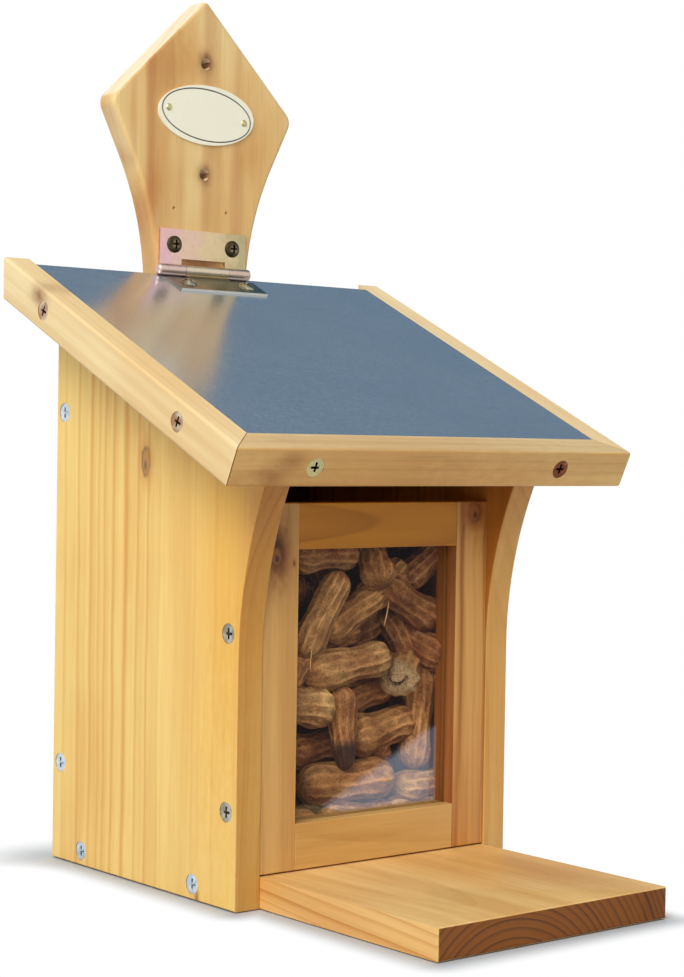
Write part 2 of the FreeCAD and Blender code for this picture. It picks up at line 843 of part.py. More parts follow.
def settled(nut, heap, pick):
    """The nut at the lowest of some places, nudged on downwards from there."""
    drops = [heap.let_down(nut.thrown(pick)) for _ in range(nut_tries)]
    lowest = min(drops, key=lambda drop: drop.height)
    for move in range(nut_settling_moves):
        trial = heap.let_down(lowest.nudged(pick, 1 - move / nut_settling_moves))
        if trial.height < lowest.height:
            lowest = trial
    return lowest


def fill(heap, pick, top):
    """Lets random nuts down until none fits under a height, and gives them back."""
    nuts = []
    misses = {True: 0, False: 0}
    while min(misses.values()) < nut_misses_allowed:
        at_pane = pick.random() < nut_pane_share
        if misses[at_pane] >= nut_misses_allowed:
            at_pane = not at_pane
        nut = settled(picked_nut(pick, at_pane), heap, pick)
        if nut.height + nut.rise > top:
            misses[at_pane] += 1
            continue
        heap.add(nut)
        nuts.append(nut)
    return nuts


def nuts():
    """Shells that fill the box behind the window."""
    pick = random.Random(nut_seed)
    heap = Heap()
    heaped = []
    for x, height, behind, lean, heading, length, radius in window_nuts:
        nut = Nut(length, radius, lean, heading, x, 0, True)
        nut.y += behind
        heaped += fill(heap, pick, height - nut.rise)
        if heap.let_down(nut).height + nut.rise <= nut_fill_height:
            heap.add(nut)
            heaped.append(nut)
    heaped += fill(heap, pick, nut_fill_height)
    return [nut.shell() for nut in heaped]


def main():
    os.makedirs("parts", exist_ok=True)
    screw = wood_screw()
    for side, word in ((-1, "left"), (1, "right")):
        export("side_panel_" + word, side_panel(side))
        for row in screw_rows:
            export(row + "_screws_" + word, side_screws(screw, side, row))
        export("roof_trim_" + word, side_trim(side))
        export("trim_screws_" + word, trim_screws(screw, side))
    export("roof_trim_front", front_trim())
    export("trim_screws_front", trim_screws(screw, 0))
    export("floor_board", floor_board())
    export("back_board", back_board())
    export("frame_stile_left", frame_member((-inner_half, frame_bottom), (-opening_half, frame_top)))
    export("frame_stile_right", frame_member((opening_half, frame_bottom), (inner_half, frame_top)))
    export("frame_rail_bottom",
           frame_member((-opening_half, frame_bottom), (opening_half, opening_bottom)))
    export("frame_rail_top", frame_member((-opening_half, opening_top), (opening_half, frame_top)))
    export("frame_staples", frame_staples(0))
    export("window_pane", window_pane())
    export("roof_board", roof_board())
    export("roof_sheet", roof_sheet())
    export("hinge_leaf_upper", upper_leaf())
    export("hinge_leaf_lower", lower_leaf())
    export("hinge_pin", hinge_pin())
    export("hinge_screws_upper", upper_screws(hinge_screw()))
    export("hinge_screws_lower", lower_screws(hinge_screw()))
    export("oval_plate", oval_plate())
    export("plate_nails", nails_in_place(nail()))
    export("nuts", nuts())
    print("hinge axis at y", round(hinge_point.y, 4), "z", round(hinge_point.z, 4))


main()
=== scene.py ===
# %% [markdown]
# # A squirrel feeder box
#
# The feeder is a narrow wooden box that hangs on a tree. It has a window in a small frame, a
# landing board, a sloping lid clad with thin sheet metal, and a tall back board that ends in a
# diamond head. Its boards, screws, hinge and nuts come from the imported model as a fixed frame,
# and nothing there is moved. This script gives them their finishes, replaces the plain nuts with
# ridged shells, and sets the camera, the light and the floor.

import math

import bpy
import numpy as np
from mathutils import Matrix, Vector


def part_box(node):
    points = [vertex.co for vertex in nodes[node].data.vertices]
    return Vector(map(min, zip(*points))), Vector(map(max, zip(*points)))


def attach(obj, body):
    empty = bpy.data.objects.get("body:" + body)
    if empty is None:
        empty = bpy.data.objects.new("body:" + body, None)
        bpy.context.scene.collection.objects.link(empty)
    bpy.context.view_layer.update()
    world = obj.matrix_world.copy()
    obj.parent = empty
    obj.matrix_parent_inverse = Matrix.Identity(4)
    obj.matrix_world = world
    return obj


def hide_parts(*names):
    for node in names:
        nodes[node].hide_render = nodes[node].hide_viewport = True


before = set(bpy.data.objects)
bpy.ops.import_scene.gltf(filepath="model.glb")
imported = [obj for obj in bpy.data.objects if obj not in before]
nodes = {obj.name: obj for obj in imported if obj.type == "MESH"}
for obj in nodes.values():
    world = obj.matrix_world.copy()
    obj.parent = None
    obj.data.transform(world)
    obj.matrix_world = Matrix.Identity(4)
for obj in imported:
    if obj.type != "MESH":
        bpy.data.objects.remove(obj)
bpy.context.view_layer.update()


def put_down():
    """Leave edit mode and select nothing, so that the next operator acts on what it is given."""
    if bpy.context.mode != "OBJECT":
        bpy.ops.object.mode_set(mode="OBJECT")
    bpy.ops.object.select_all(action="DESELECT")


put_down()

# %% [markdown]
# ## The camera
#
# The photograph was taken from the front left, at about the height of the lid's front edge, with
# a long lens. The place and the three angles below were solved from its straight edges. A camera
# looks along its own -Z, so its rotation is built from three directions: right, up and backwards.

# %% Place the camera
yaw, pitch, roll = math.radians(39.22), math.radians(-1.206), math.radians(0.889)
ahead = Vector((math.sin(yaw) * math.cos(pitch), math.cos(yaw) * math.cos(pitch), math.sin(pitch)))
level = Vector((math.cos(yaw), -math.sin(yaw), 0))
upright = level.cross(ahead)
right = level * math.cos(roll) + upright * math.sin(roll)
above = upright * math.cos(roll) - level * math.sin(roll)

camera_place = (-0.5360, -0.6974, 0.1777)
lens_mm, film_mm = 76.67, 36
bpy.ops.object.camera_add(location=camera_place)
camera = bpy.context.object
camera.name = "photo_camera"
camera.rotation_euler = Matrix((right, above, -ahead)).transposed().to_euler()
camera.data.lens = lens_mm
camera.data.sensor_width = film_mm
bpy.context.scene.camera = camera
middle_of_box = Vector((0, -0.03, 0.16))
distance = (camera.location - middle_of_box).length
print("the camera stands", round(distance, 3), "m from the box")

# %% [markdown]
# ## Arithmetic for shaders
#
# A finish is a tree of small nodes. Written out by hand the tree hides what it means, so one
# class wraps a socket and lets Python's own signs make the Math nodes: `a * 2 + b` gives two
# nodes. A second class holds one material, or the world, and its `node` method makes any other
# node. Its shorter methods name what every finish here needs: a place in millimetres, noise, a
# blend, a glaze.

# %% Wrap a socket, so that sums make Math nodes
class Tone:
    """One output socket of a finish."""

    def __init__(self, finish, socket):
        self.finish = finish
        self.socket = socket

    def math(self, operation, *others):
        return self.finish.node("ShaderNodeMath", {"operation": operation}, [self, *others])

    def __add__(self, other):
        return self.math("ADD", other)

    def __sub__(self, other):
        return self.math("SUBTRACT", other)

    def __rsub__(self, other):
        return self.finish.node("ShaderNodeMath", {"operation": "SUBTRACT"}, [other, self])

    def __mul__(self, other):
        return self.math("MULTIPLY", other)

    def __truediv__(self, other):
        return self.math("DIVIDE", other)

    def __pow__(self, other):
        return self.math("POWER", other)

    __radd__ = __add__
    __rmul__ = __mul__

    def dot(self, direction):
        """How far a vector reaches along a fixed direction."""
        settings = {"operation": "DOT_PRODUCT"}
        return self.finish.node("ShaderNodeVectorMath", settings, [self, tuple(direction)], "Value")

    def scaled(self, factor):
        """A colour or vector made longer or shorter."""
        sockets = {"Vector": self, "Scale": factor}
        settings = {"operation": "SCALE"}
        return self.finish.node("ShaderNodeVectorMath", settings, sockets, "Vector")

    def step(self, low, high, start=0.0, end=1.0):
        """A soft step from start, where this is low, to end, where it is high."""
        sockets = {"Value": self, "From Min": low, "From Max": high, "To Min": start, "To Max": end}
        settings = {"interpolation_type": "SMOOTHSTEP"}
        return self.finish.node("ShaderNodeMapRange", settings, sockets)


# %% Turn a picture's colour into light
def linear(red, green, blue):
    """A colour as a picture shows it, 0 to 255, in the light units that shaders use."""
    shares = [channel / 255 for channel in (red, green, blue)]
    light = [s / 12.92 if s <= 0.04045 else ((s + 0.055) / 1.055) ** 2.4 for s in shares]
    return (*light, 1.0)


# %% Hold one material and make its nodes
class Finish:
    """A material, or the world, made of nodes."""

    def __init__(self, name, of_world=False):
        pool, ending = bpy.data.materials, "ShaderNodeOutputMaterial"
        if of_world:
            pool, ending = bpy.data.worlds, "ShaderNodeOutputWorld"
        self.made = pool.new(name)
        self.made.use_nodes = True
        self.tree = self.made.node_tree
        self.tree.nodes.clear()
        self.output = self.tree.nodes.new(ending)

    def node(self, kind, settings=None, sockets=None, out=0):
        """Make one node: its settings first, then the values or links of its sockets."""
        made = self.tree.nodes.new(kind)
        for setting, value in (settings or {}).items():
            if setting == "stops":
                self.set_stops(made.color_ramp.elements, value)
            else:
                setattr(made, setting, value)
        pairs = sockets.items() if isinstance(sockets, dict) else enumerate(sockets or [])
        for key, value in pairs:
            if isinstance(value, Tone):
                self.tree.links.new(value.socket, made.inputs[key])
            else:
                made.inputs[key].default_value = value
        return Tone(self, made.outputs[out])

    def set_stops(self, elements, stops):
        """Give a ramp its stops, each a position and a grey."""
        while len(elements) < len(stops):
            elements.new(1.0)
        for element, (position, grey) in zip(elements, stops):
            element.position = position
            element.color = (grey, grey, grey, 1.0)

    def mix(self, share, first, second, blend="MIX"):
        """A blend of two colours."""
        settings = {"data_type": "RGBA", "blend_type": blend}
        return self.node("ShaderNodeMix", settings, {0: share, 6: first, 7: second}, 2)

    def tinted(self, share, colour, tint):
        """A colour that is darkened by a glaze of some tint, where share is above 0."""
        return self.mix(share, colour, self.mix(1.0, colour, linear(*tint), "MULTIPLY"))

    def vector(self, x, y, z):
        return self.node("ShaderNodeCombineXYZ", None, [x, y, z])

    def noise(self, place, seed=0.0, detail=2.0, roughness=0.5, out="Fac"):
        """Noise whose cells are one unit wide; another seed gives another pattern."""
        sockets = {"Vector": place, "W": seed, "Scale": 1.0, "Detail": detail,
                   "Roughness": roughness}
        return self.node("ShaderNodeTexNoise", {"noise_dimensions": "4D"}, sockets, out)

    def millimetres(self):
        """Where a point of the piece is, in millimetres."""
        return self.node("ShaderNodeTexCoord", None, None, "Object").scaled(1000.0)

    def facing(self, direction):
        """1 where the surface looks along a direction, 0 where it looks across it."""
        return self.node("ShaderNodeTexCoord", None, None, "Normal").dot(direction)

    def stored(self, name, out="Fac"):
        """A value that is kept with each point of the piece."""
        return self.node("ShaderNodeAttribute", {"attribute_name": name}, None, out)

    def ray_is_shown(self):
        """1 for a ray that a viewer sees, straight, in a mirror or through the pane, else 0."""
        kinds = ("Is Camera Ray", "Is Glossy Ray", "Is Transmission Ray")
        seen, mirrored, through = [self.node("ShaderNodeLightPath", None, None, k) for k in kinds]
        return (seen + mirrored + through).math("MINIMUM", 1.0)

    def ending_in(self, shader):
        """Lead a shader to the output, which completes the finish."""
        self.tree.links.new(shader.socket, self.output.inputs["Surface"])
        return self.made

    def surface(self, bump=None, depth=0.1, **sockets):
        """Complete the finish with one Principled shader; bump is a share of depth, in mm."""
        inputs = {name.replace("_", " "): value for name, value in sockets.items()}
        if bump is not None:
            height = {"Height": bump, "Distance": depth / 1000, "Strength": 1.0}
            inputs["Normal"] = self.node("ShaderNodeBump", None, height)
        return self.ending_in(self.node("ShaderNodeBsdfPrincipled", None, inputs))


# %% Put a finish on a piece
def wear(finish, *names):
    """Give a finish to CAD nodes."""
    for name in names:
        for slot in nodes[name].material_slots:
            slot.material = finish
    print(finish.name, "goes on", ", ".join(names))


# %% Name the directions
X, Y, Z = (1, 0, 0), (0, 1, 0), (0, 0, 1)
to_the_left, to_the_front = (-1, 0, 0), (0, -1, 0)
slope = math.radians(25)
uphill = (0, math.cos(slope), math.sin(slope))
downhill = (0, -math.cos(slope), -math.sin(slope))
lid_face = (0, -math.sin(slope), math.cos(slope))


def leaning(main, towards, degrees):
    """A direction that leans from one towards another."""
    turn = math.radians(degrees)
    return tuple(Vector(main) * math.cos(turn) + Vector(towards) * math.sin(turn))


print("the lid slopes", round(math.degrees(slope), 1), "degrees")

# %% [markdown]
# ## Glazed wood
#
# Softwood is a stack of yearly rings round the middle of the trunk: pale early wood that darkens
# slowly and stops at a sharp line. A board is a straight cut through them, so the same solid
# pattern shows long streaks on its faces, arches where a ring is cut flat, and arcs on its ends.
# That is why the rings are computed in space from each board's own grain direction, and not
# painted on its faces. Knots push the rings aside. Fine fibres, slow blotches of glaze and
# darker, thirstier end grain go on top. Each noise is stretched along the grain: a small factor
# on u and larger ones on v and w make its cells long and thin.

# %% Make the rings of one board
def ring_height(f, u, v, w, pith, ring_mm, wander, knots, seed):
    """0 in early wood to 1 at the late-wood line; u runs along the grain, v across, w through."""
    drift = f.noise(f.vector(u * 0.005, v * 0.012, w * 0.012), seed, 2.0)
    drift_too = f.noise(f.vector(u * 0.004, v * 0.010, w * 0.010), seed + 7.3, 1.0)
    across = v - pith[0] + (drift - 0.5) * wander
    through = w - pith[1] + (drift_too - 0.5) * wander
    radius = (across * across + through * through) ** 0.5
    for knot in knots:
        away = knot.distance(u, v)
        radius = radius + (away * away * -0.28).math("EXPONENT") * knot.wide * 1.5
    uneven = f.noise(f.vector(radius * 0.09, seed, 0.0), seed, 1.0)
    strong = f.noise(f.vector(radius * 0.17, seed, 4.0), seed, 1.0)
    turns = (radius / ring_mm + uneven * 2.6).math("FRACT")
    darkening = ((0.0, 0.0), (0.55, 0.12), (0.84, 0.7), (0.93, 1.0), (1.0, 0.0))
    line = f.node("ShaderNodeValToRGB", {"stops": darkening}, [turns])
    return line.dot(X) * strong.step(0.3, 0.7, 0.35, 1.0)


# %% Paint a knot
class Knot:
    """Where a branch was cut off: its place along and across the board, its half sizes and how
    dark it is."""

    def __init__(self, along, aside, wide, tall, dark):
        self.along, self.aside = along, aside
        self.wide, self.tall, self.dark = wide, tall, dark

    def distance(self, u, v, up=0.0, side=0.0, share=1.0):
        """How far a point is from the knot, where 1 is its edge; share makes it smaller."""
        along = (u - (self.along + up * self.tall)) * (1 / (self.tall * share))
        across = (v - (self.aside + side * self.wide)) * (1 / (self.wide * share))
        return (along * along + across * across) ** 0.5

    def paint(self, f, wood, u, v, ragged):
        """A darker halo, a browner heart, a bark line round it with painted shade on its right
        side, and a dark eye low on one side.
        """
        away = self.distance(u, v) + (ragged - 0.5) * 0.6
        wood = f.tinted(away.step(2.4, 0.8) * self.dark * 0.7, wood, (206, 160, 106))
        heart = away.step(1.08, 0.86) * (0.25 + 0.5 * self.dark)
        wood = f.mix(heart, wood, linear(156, 102, 50))
        # painted shade: the bark line is darker on the knot's right side, away from the light
        painted_shade_right = ((v - self.aside) * (1 / self.wide)).step(-0.7, 0.7, 0.3, 1.0)
        bark = (((away - 0.92) * 6.0) ** 2.0 * -1.0).math("EXPONENT") * painted_shade_right
        wood = f.mix(bark * (0.3 + 0.5 * self.dark), wood, linear(112, 70, 30))
        eye = self.distance(u, v, -0.25, 0.1, 0.42) + (ragged - 0.5) * 1.4
        return f.mix(eye.step(1.2, 0.5) * self.dark, wood, linear(72, 40, 24))


# %% Make the finish of one board
end_grain = ((206, 156, 96), (142, 96, 50))
# the tint of the painted shade inside the box
painted_inside_shade = (100, 76, 58)


def glazed_wood(name, grain, side, pale, deep, ring_mm, pith, wander, seed, knots=(), stains_and_painted_shade=(),
                contrast=0.3, streaks=0.35, streak_mm=8.0, lines=(), blotch=0.3,
                blotch_tint=(236, 196, 140), end=end_grain, end_from=0.6, painted_face_shading=(),
                edge_marks=0.0, painted_shade_below=None):
    """Clear-glazed softwood, its grain along one direction and its wider side across another.

    pale and deep are early and late wood, pith is the trunk's middle across and behind the board,
    and wander is how far the rings stray. lines are dark streaks: place across, width, strength.
    stains are soft patches: place along, across, length, width, strength, tint; a few are painted
    shade. edges give the faces that look along a direction a tint of their own, which is painted
    light and shade. Inside the box, the front face is painted darker below a given height, as
    shade.
    Places and sizes are in millimetres.
    """
    f = Finish(name)
    place = f.millimetres()
    u = place.dot(Vector(grain))
    v = place.dot(Vector(side))
    w = place.dot(Vector(grain).cross(Vector(side)))
    rings = ring_height(f, u, v, w, pith, ring_mm, wander, knots, seed)
    fibre = f.noise(f.vector(u * 0.035, v * 1.1, w * 1.1), seed, 3.0, 0.6)
    band = f.vector(u * 0.0035, v * (1 / streak_mm), w * (1 / streak_mm))
    streak = f.noise(band, seed + 3.1, 2.0, 0.5)
    cloud = f.noise(f.vector(u * 0.010, v * 0.028, w * 0.028), seed + 5.7, 3.0, 0.55)
    ragged = f.noise(f.vector(u * 0.20, v * 0.34, w * 0.34), seed + 9.1, 2.0, 0.6)
    pores = f.noise(f.vector(u * 0.05, v * 2.1, w * 2.1), seed + 2.2, 2.0, 0.6)

    on_edge = f.facing(side).math("ABSOLUTE").step(0.6, 0.9)
    marked = rings * (contrast + on_edge * edge_marks) + streak.step(0.36, 0.66) * streaks
    for place_across, wide, strength in lines:
        off = (v - place_across + (streak - 0.5) * 2.0 + (cloud - 0.5) * 5.0) * (1 / wide)
        marked = marked + (off * off * -1.0).math("EXPONENT") * strength
        beside = off - 2.0
        marked = marked - (beside * beside * -1.0).math("EXPONENT") * (strength * 0.45)
    marked = marked.math("MAXIMUM", 0.0).math("MINIMUM", 1.0)
    wood = f.mix(marked, linear(*pale), linear(*deep))
    wood = f.tinted(cloud.step(0.40, 0.68) * blotch, wood, blotch_tint)
    wood = wood.scaled(0.92 + fibre * 0.22 - pores.step(0.56, 0.74) * 0.12)
    for along, aside, long, wide, strength, tint in stains_and_painted_shade:
        up = (u - along) * (1.0 / long) + (ragged - 0.5) * 1.2
        across = (v - aside) * (1.0 / wide) + (cloud - 0.5) * 1.6
        patch = ((up * up + across * across) * -1.0).math("EXPONENT") * strength
        wood = f.tinted(patch, wood, tint)
    for knot in knots:
        wood = knot.paint(f, wood, u, v, ragged)

    # painted light and shade: a face that looks along a given direction gets a tint of its own
    for direction, tint in painted_face_shading:
        wood = f.tinted(f.facing(direction).step(0.6, 0.9), wood, tint)
    # painted shade: inside the box, the front face is darkened below a given height
    if painted_shade_below is not None:
        inside = f.facing(to_the_front).step(0.6, 0.9) * u.step(painted_shade_below, painted_shade_below - 8)
        wood = f.tinted(inside, wood, painted_inside_shade)
    on_end = f.facing(grain).math("ABSOLUTE").step(end_from, end_from + 0.3)
    thirsty = f.mix(rings, linear(*end[0]), linear(*end[1]))
    wood = f.mix(on_end, wood, thirsty.scaled(0.80 + fibre * 0.2 + ragged * 0.2))
    gloss = 0.50 + (fibre - 0.5) * 0.25 + on_end * 0.15
    return f.surface(bump=rings * 0.35 + fibre * 0.65, depth=0.04, Base_Color=wood,
                     Roughness=gloss, Coat_Weight=0.12, Coat_Roughness=0.35, IOR=1.45)


# %% [markdown]
# Each board was cut from another part of a log, so each has its own ring spacing, its own
# distance from the middle of the trunk and its own knots. The panel seen from the left has close
# lines towards the back and a plain front half, which is what a cut well off the middle gives. A
# grain direction that is a few degrees off the board's own makes the arches of a rail and the
# slanting streaks along the landing board's edge.

# %% Finish the side panels
# brown of the small stain marks, also used for one painted shadow on the back board
brown_stain_and_shadow = (150, 104, 66)

wear(glazed_wood(
    "panel_wood_left", Z, Y, pale=(250, 214, 128), deep=(216, 150, 58),
    ring_mm=5.0, pith=(-44, 34), wander=22, seed=1.0,
    contrast=0.13, streaks=0.24, streak_mm=14, edge_marks=0.4,
    knots=[Knot(169.8, -2.2, 3.2, 6.0, 0.55)],
    lines=[(58, 1.0, 0.25), (47.5, 1.0, 0.35), (38, 1.1, 0.4), (32, 0.8, 0.25),
           (27.5, 0.9, 0.3), (21, 1.1, 0.4), (12, 1.7, 0.6), (3.4, 0.9, 0.35),
           (-4, 0.8, 0.35), (-14, 0.8, -0.25), (-37, 0.8, 0.15), (-51, 1.0, 0.15)],
    stains_and_painted_shade=[(1.5, -41.2, 3, 1.4, 0.8, brown_stain_and_shadow),
            (140, -62, 130, 26, 0.8, (247, 219, 150)),
            # painted shade: the last patch darkens the front edge high up, under the lid
            (146, -94, 38, 18, 0.9, (222, 176, 118))],
    # painted light and shade: the front faces and the faces that look inward get tints of their own
    painted_face_shading=[(to_the_front, (218, 206, 196)), (X, (224, 190, 140))]), "side_panel_left")
wear(glazed_wood(
    "panel_wood_right", Z, Y, pale=(238, 192, 112), deep=(206, 146, 64),
    ring_mm=4.4, pith=(30, -38), wander=24, seed=2.0, contrast=0.4, streak_mm=9,
    knots=[Knot(60, 20, 4.0, 6.5, 0.6)],
    lines=[(-40, 1.2, 0.4), (-22, 0.9, 0.5), (-8, 1.4, 0.5), (36, 1.0, 0.4), (50, 1.2, 0.5)],
    # painted shade: this patch darkens the front edge high up, under the lid
    stains_and_painted_shade=[(152, -96, 34, 18, 1.0, (184, 126, 68))],
    # painted shade: the faces that look inward are tinted darker
    painted_face_shading=[(to_the_left, (214, 182, 132))]), "side_panel_right")

# %% Finish the floor and the back board
# brown of the chipped wood round the hanging holes and of the painted shade inside them
hole_rim_and_shade = (116, 80, 48)

wear(glazed_wood(
    "floor_wood", leaning(Y, Z, 4), X, pale=(250, 212, 142), deep=(206, 138, 58),
    ring_mm=2.9, pith=(-22, 20), wander=9, seed=3.0,
    contrast=0.15, streak_mm=12, edge_marks=0.55,
    stains_and_painted_shade=[(-112, 40, 50, 34, 0.7, (238, 218, 178))],
    # painted shade: the left side face is tinted a little darker and warmer
    end=((140, 77, 0), (47, 17, 0)), painted_face_shading=[(to_the_left, (252, 242, 226))]), "floor_board")
wear(glazed_wood(
    "hanger_wood", Z, X, pale=(240, 208, 144), deep=(206, 156, 98),
    ring_mm=6.0, pith=(18, -60), wander=30, seed=4.0,
    contrast=0.22, streaks=0.5, streak_mm=12, blotch=0.55, blotch_tint=(224, 186, 136),
    lines=[(31, 10, -0.9), (-8, 3, -0.35), (8, 2.5, -0.3), (15, 3.5, 0.12), (-31, 3, 0.35),
           (-41, 2, 0.4)],
    # painted shadow: the first patch, at 256 mm, darkens the wood in the hinge's notch
    stains_and_painted_shade=[(256, -4.3, 4, 15, 0.9, brown_stain_and_shadow), (342, -14, 15, 16, 0.55, (220, 180, 130)),
            # the rings round the two holes are chipped wood and painted shade inside the holes
            (344.4, -3.6, 3.8, 3.4, 1.0, hole_rim_and_shade), (295.4, -3.6, 3.8, 3.4, 1.0, hole_rim_and_shade),
            (306, 22, 12, 9, 0.4, (226, 186, 130)), (288, -29, 12, 5, 0.5, (226, 176, 120))],
    # The head's slanted sides and rounded rims count as end grain and are set pale, which is a
    # painted highlight; below 236 mm the front face is painted darker as shade inside the box.
    end=((252, 230, 194), (240, 208, 164)), end_from=0.35, painted_shade_below=236), "back_board")

# %% Finish the window frame
wear(glazed_wood(
    "stile_wood_left", Z, X, pale=(220, 177, 107), deep=(182, 126, 62),
    ring_mm=3.0, pith=(-70, -20), wander=14, seed=5.0, streak_mm=7,
    knots=[Knot(134.5, -52.0, 2.6, 3.4, 1.0)],
    stains_and_painted_shade=[(136, -49.5, 13, 6.0, 1.0, (150, 106, 70)),
            (137, -50.5, 7.5, 3.6, 0.8, (140, 104, 78)),
            (131.8, -43.2, 1.3, 0.8, 1.0, brown_stain_and_shadow)]), "frame_stile_left")
wear(glazed_wood(
    "stile_wood_right", Z, X, pale=(224, 168, 92), deep=(170, 104, 44),
    ring_mm=3.4, pith=(90, -30), wander=14, seed=6.0,
    contrast=0.4, streaks=0.5, streak_mm=6,
    knots=[Knot(150.5, 50.8, 3.4, 4.0, 0.9)],
    lines=[(43.5, 1.6, 0.6), (56.5, 0.8, 0.4)],
    stains_and_painted_shade=[(152, 50, 12, 9, 0.8, (190, 144, 100))],
    # painted shade: the face that looks to the left, beside the pane, is tinted darker
    painted_face_shading=[(to_the_left, (199, 170, 160))]), "frame_stile_right")
wear(glazed_wood(
    "rail_wood_top", leaning(X, Y, 2.5), Z, pale=(208, 140, 30), deep=(152, 84, 12),
    ring_mm=3.6, pith=(147, 45), wander=8, seed=7.0,
    contrast=0.6, streaks=0.4, streak_mm=12), "frame_rail_top")
wear(glazed_wood(
    "rail_wood_bottom", leaning(X, Y, -2.0), Z, pale=(218, 174, 102), deep=(184, 130, 60),
    ring_mm=3.2, pith=(28, 40), wander=10, seed=8.0, streak_mm=10), "frame_rail_bottom")

# %% Finish the lid's wood
wear(glazed_wood(
    "roof_board_wood", uphill, X, pale=(222, 178, 108), deep=(198, 146, 76),
    ring_mm=3.6, pith=(20, -30), wander=26, seed=9.0), "roof_board")
wear(glazed_wood(
    "trim_wood_left", uphill, lid_face, pale=(244, 222, 170), deep=(220, 180, 116),
    ring_mm=3.6, pith=(190, 60), wander=12, seed=10.0, streaks=0.45, streak_mm=7,
    stains_and_painted_shade=[(127, 201, 6, 3.5, 0.9, brown_stain_and_shadow),
            (-56, 192, 9, 3, 0.4, brown_stain_and_shadow)]), "roof_trim_left")
wear(glazed_wood(
    "trim_wood_right", uphill, lid_face, pale=(244, 222, 174), deep=(222, 184, 124),
    ring_mm=3.2, pith=(180, -20), wander=12, seed=11.0,
    contrast=0.22, streak_mm=7), "roof_trim_right")
wear(glazed_wood(
    "trim_wood_front", X, lid_face, pale=(244, 216, 160), deep=(206, 160, 96),
    ring_mm=3.4, pith=(190, 30), wander=10, seed=12.0, streaks=0.4,
    stains_and_painted_shade=[(-75, 199.5, 7, 4, 0.6, (176, 138, 92)), (-82, 192.5, 7, 4, 0.6, (168, 132, 90)),
            (-28, 194, 84, 14, 1.0, (228, 208, 184))],
    # painted light and shade: the front face gets a warm tint and the top face a bluish one, as lit
    # from above
    painted_face_shading=[(downhill, (254, 241, 212)), (lid_face, (240, 244, 250))]), "roof_trim_front")

# %% [markdown]
# ## Metal
#
# The roof sheet is plain satin metal: it mirrors the hanger softly, and the mirror image blurs
# with distance, which roughness alone gives. Its surface has fine specks. The screws are zinc or
# bronze coloured plate, darker in their recesses, and the hinge is zinc with a yellow skin
# that shifts between straw and pink. Where its lower leaf was cut off, the front edge is bare.

# %% Finish the roof sheet
def roof_metal():
    f = Finish("roof_metal")
    place = f.millimetres()
    speck = f.noise(place.scaled(0.6), 1.0, 4.0, 0.75)
    cloud = f.noise(place.scaled(0.03), 2.0, 2.0)
    fleck = f.noise(place.scaled(0.5), 3.0, 2.0, 0.7)
    metal = f.mix(cloud, linear(206, 213, 220), linear(216, 222, 228))
    metal = metal.scaled(0.70 + speck * 0.52)
    metal = f.mix(fleck.step(0.60, 0.72) * 0.3, metal, linear(250, 251, 252))
    return f.surface(bump=speck, depth=0.018, Base_Color=metal, Metallic=0.87,
                     Roughness=0.18 + (speck - 0.5) * 0.18 + cloud * 0.05)


wear(roof_metal(), "roof_sheet")

# %% Make the finish of screws and nails
# the colour that the screws' recesses are darkened towards
recess_colour = (44, 36, 28)


def plated(name, first, second, seed, roughness=0.30, patch_mm=3, aged_side=0.0, recess_darkening=0.0,
           heads=None, outward=X):
    """A plated metal whose skin shifts between two colours, in patches of some size.

    aged_side moves the second colour to the right. What lies deeper than the faces of the heads, a
    node's name, is darkened by the given share; the faces look outward, and to both sides if that
    is X.
    """
    f = Finish(name)
    place = f.millimetres()
    rightness = place.dot(X).step(-20, 20, -1, 1)
    drift = f.noise(place.scaled(1.0 / patch_mm), seed, 2.0) + rightness * aged_side
    grain = f.noise(place.scaled(2.2), seed + 1.0, 2.0)
    skin = f.mix(drift.step(0.35, 0.65), linear(*first), linear(*second))
    skin = skin.scaled(0.82 + grain * 0.30)
    if heads:
        face = max(Vector(outward).dot(v.co) for v in nodes[heads].data.vertices) * 1000
        out = place.dot(outward)
        below = face - (out.math("ABSOLUTE") if outward == X else out)
        # the parts below the heads' faces, the recesses, are darkened by the given share
        skin = f.mix(below.step(0.1, 0.5) * recess_darkening, skin, linear(*recess_colour))
    return f.surface(bump=grain, depth=0.02, Base_Color=skin, Metallic=1.0,
                     Roughness=roughness + (drift - 0.5) * 0.12)


# %% Finish the screws and nails
wear(plated("bright_zinc", (184, 202, 222), (220, 228, 234), seed=1.0, recess_darkening=0.2,
            heads="back_screws_right"),
     "back_screws_left", "back_screws_right", "floor_screws_left", "floor_screws_right",
     "frame_staples")
wear(plated("aged_zinc", (192, 188, 170), (150, 144, 128), seed=6.0, recess_darkening=0.85,
            heads="frame_screws_right"), "frame_screws_left", "frame_screws_right")
wear(plated("trim_screw_bronze", (222, 206, 178), (176, 136, 104), seed=3.0, roughness=0.28,
            patch_mm=4, recess_darkening=0.8, heads="trim_screws_right"),
     "trim_screws_left", "trim_screws_right")
wear(plated("trim_screw_brass", (206, 194, 140), (116, 64, 44), seed=7.0, roughness=0.28,
            patch_mm=4, aged_side=0.2, recess_darkening=0.9, heads="trim_screws_front",
            outward=downhill), "trim_screws_front")
wear(plated("dark_bronze", (150, 132, 94), (96, 82, 58), seed=4.0, recess_darkening=0.8,
            heads="hinge_screws_upper", outward=to_the_front), "hinge_screws_upper")
wear(plated("worn_bronze", (196, 192, 170), (128, 120, 98), seed=4.0, roughness=0.28),
     "hinge_screws_lower")
wear(plated("nail_brass", (206, 194, 140), (180, 170, 124), seed=5.0, patch_mm=2), "plate_nails")

# %% Finish the hinge
bare_zinc = (206, 206, 196)


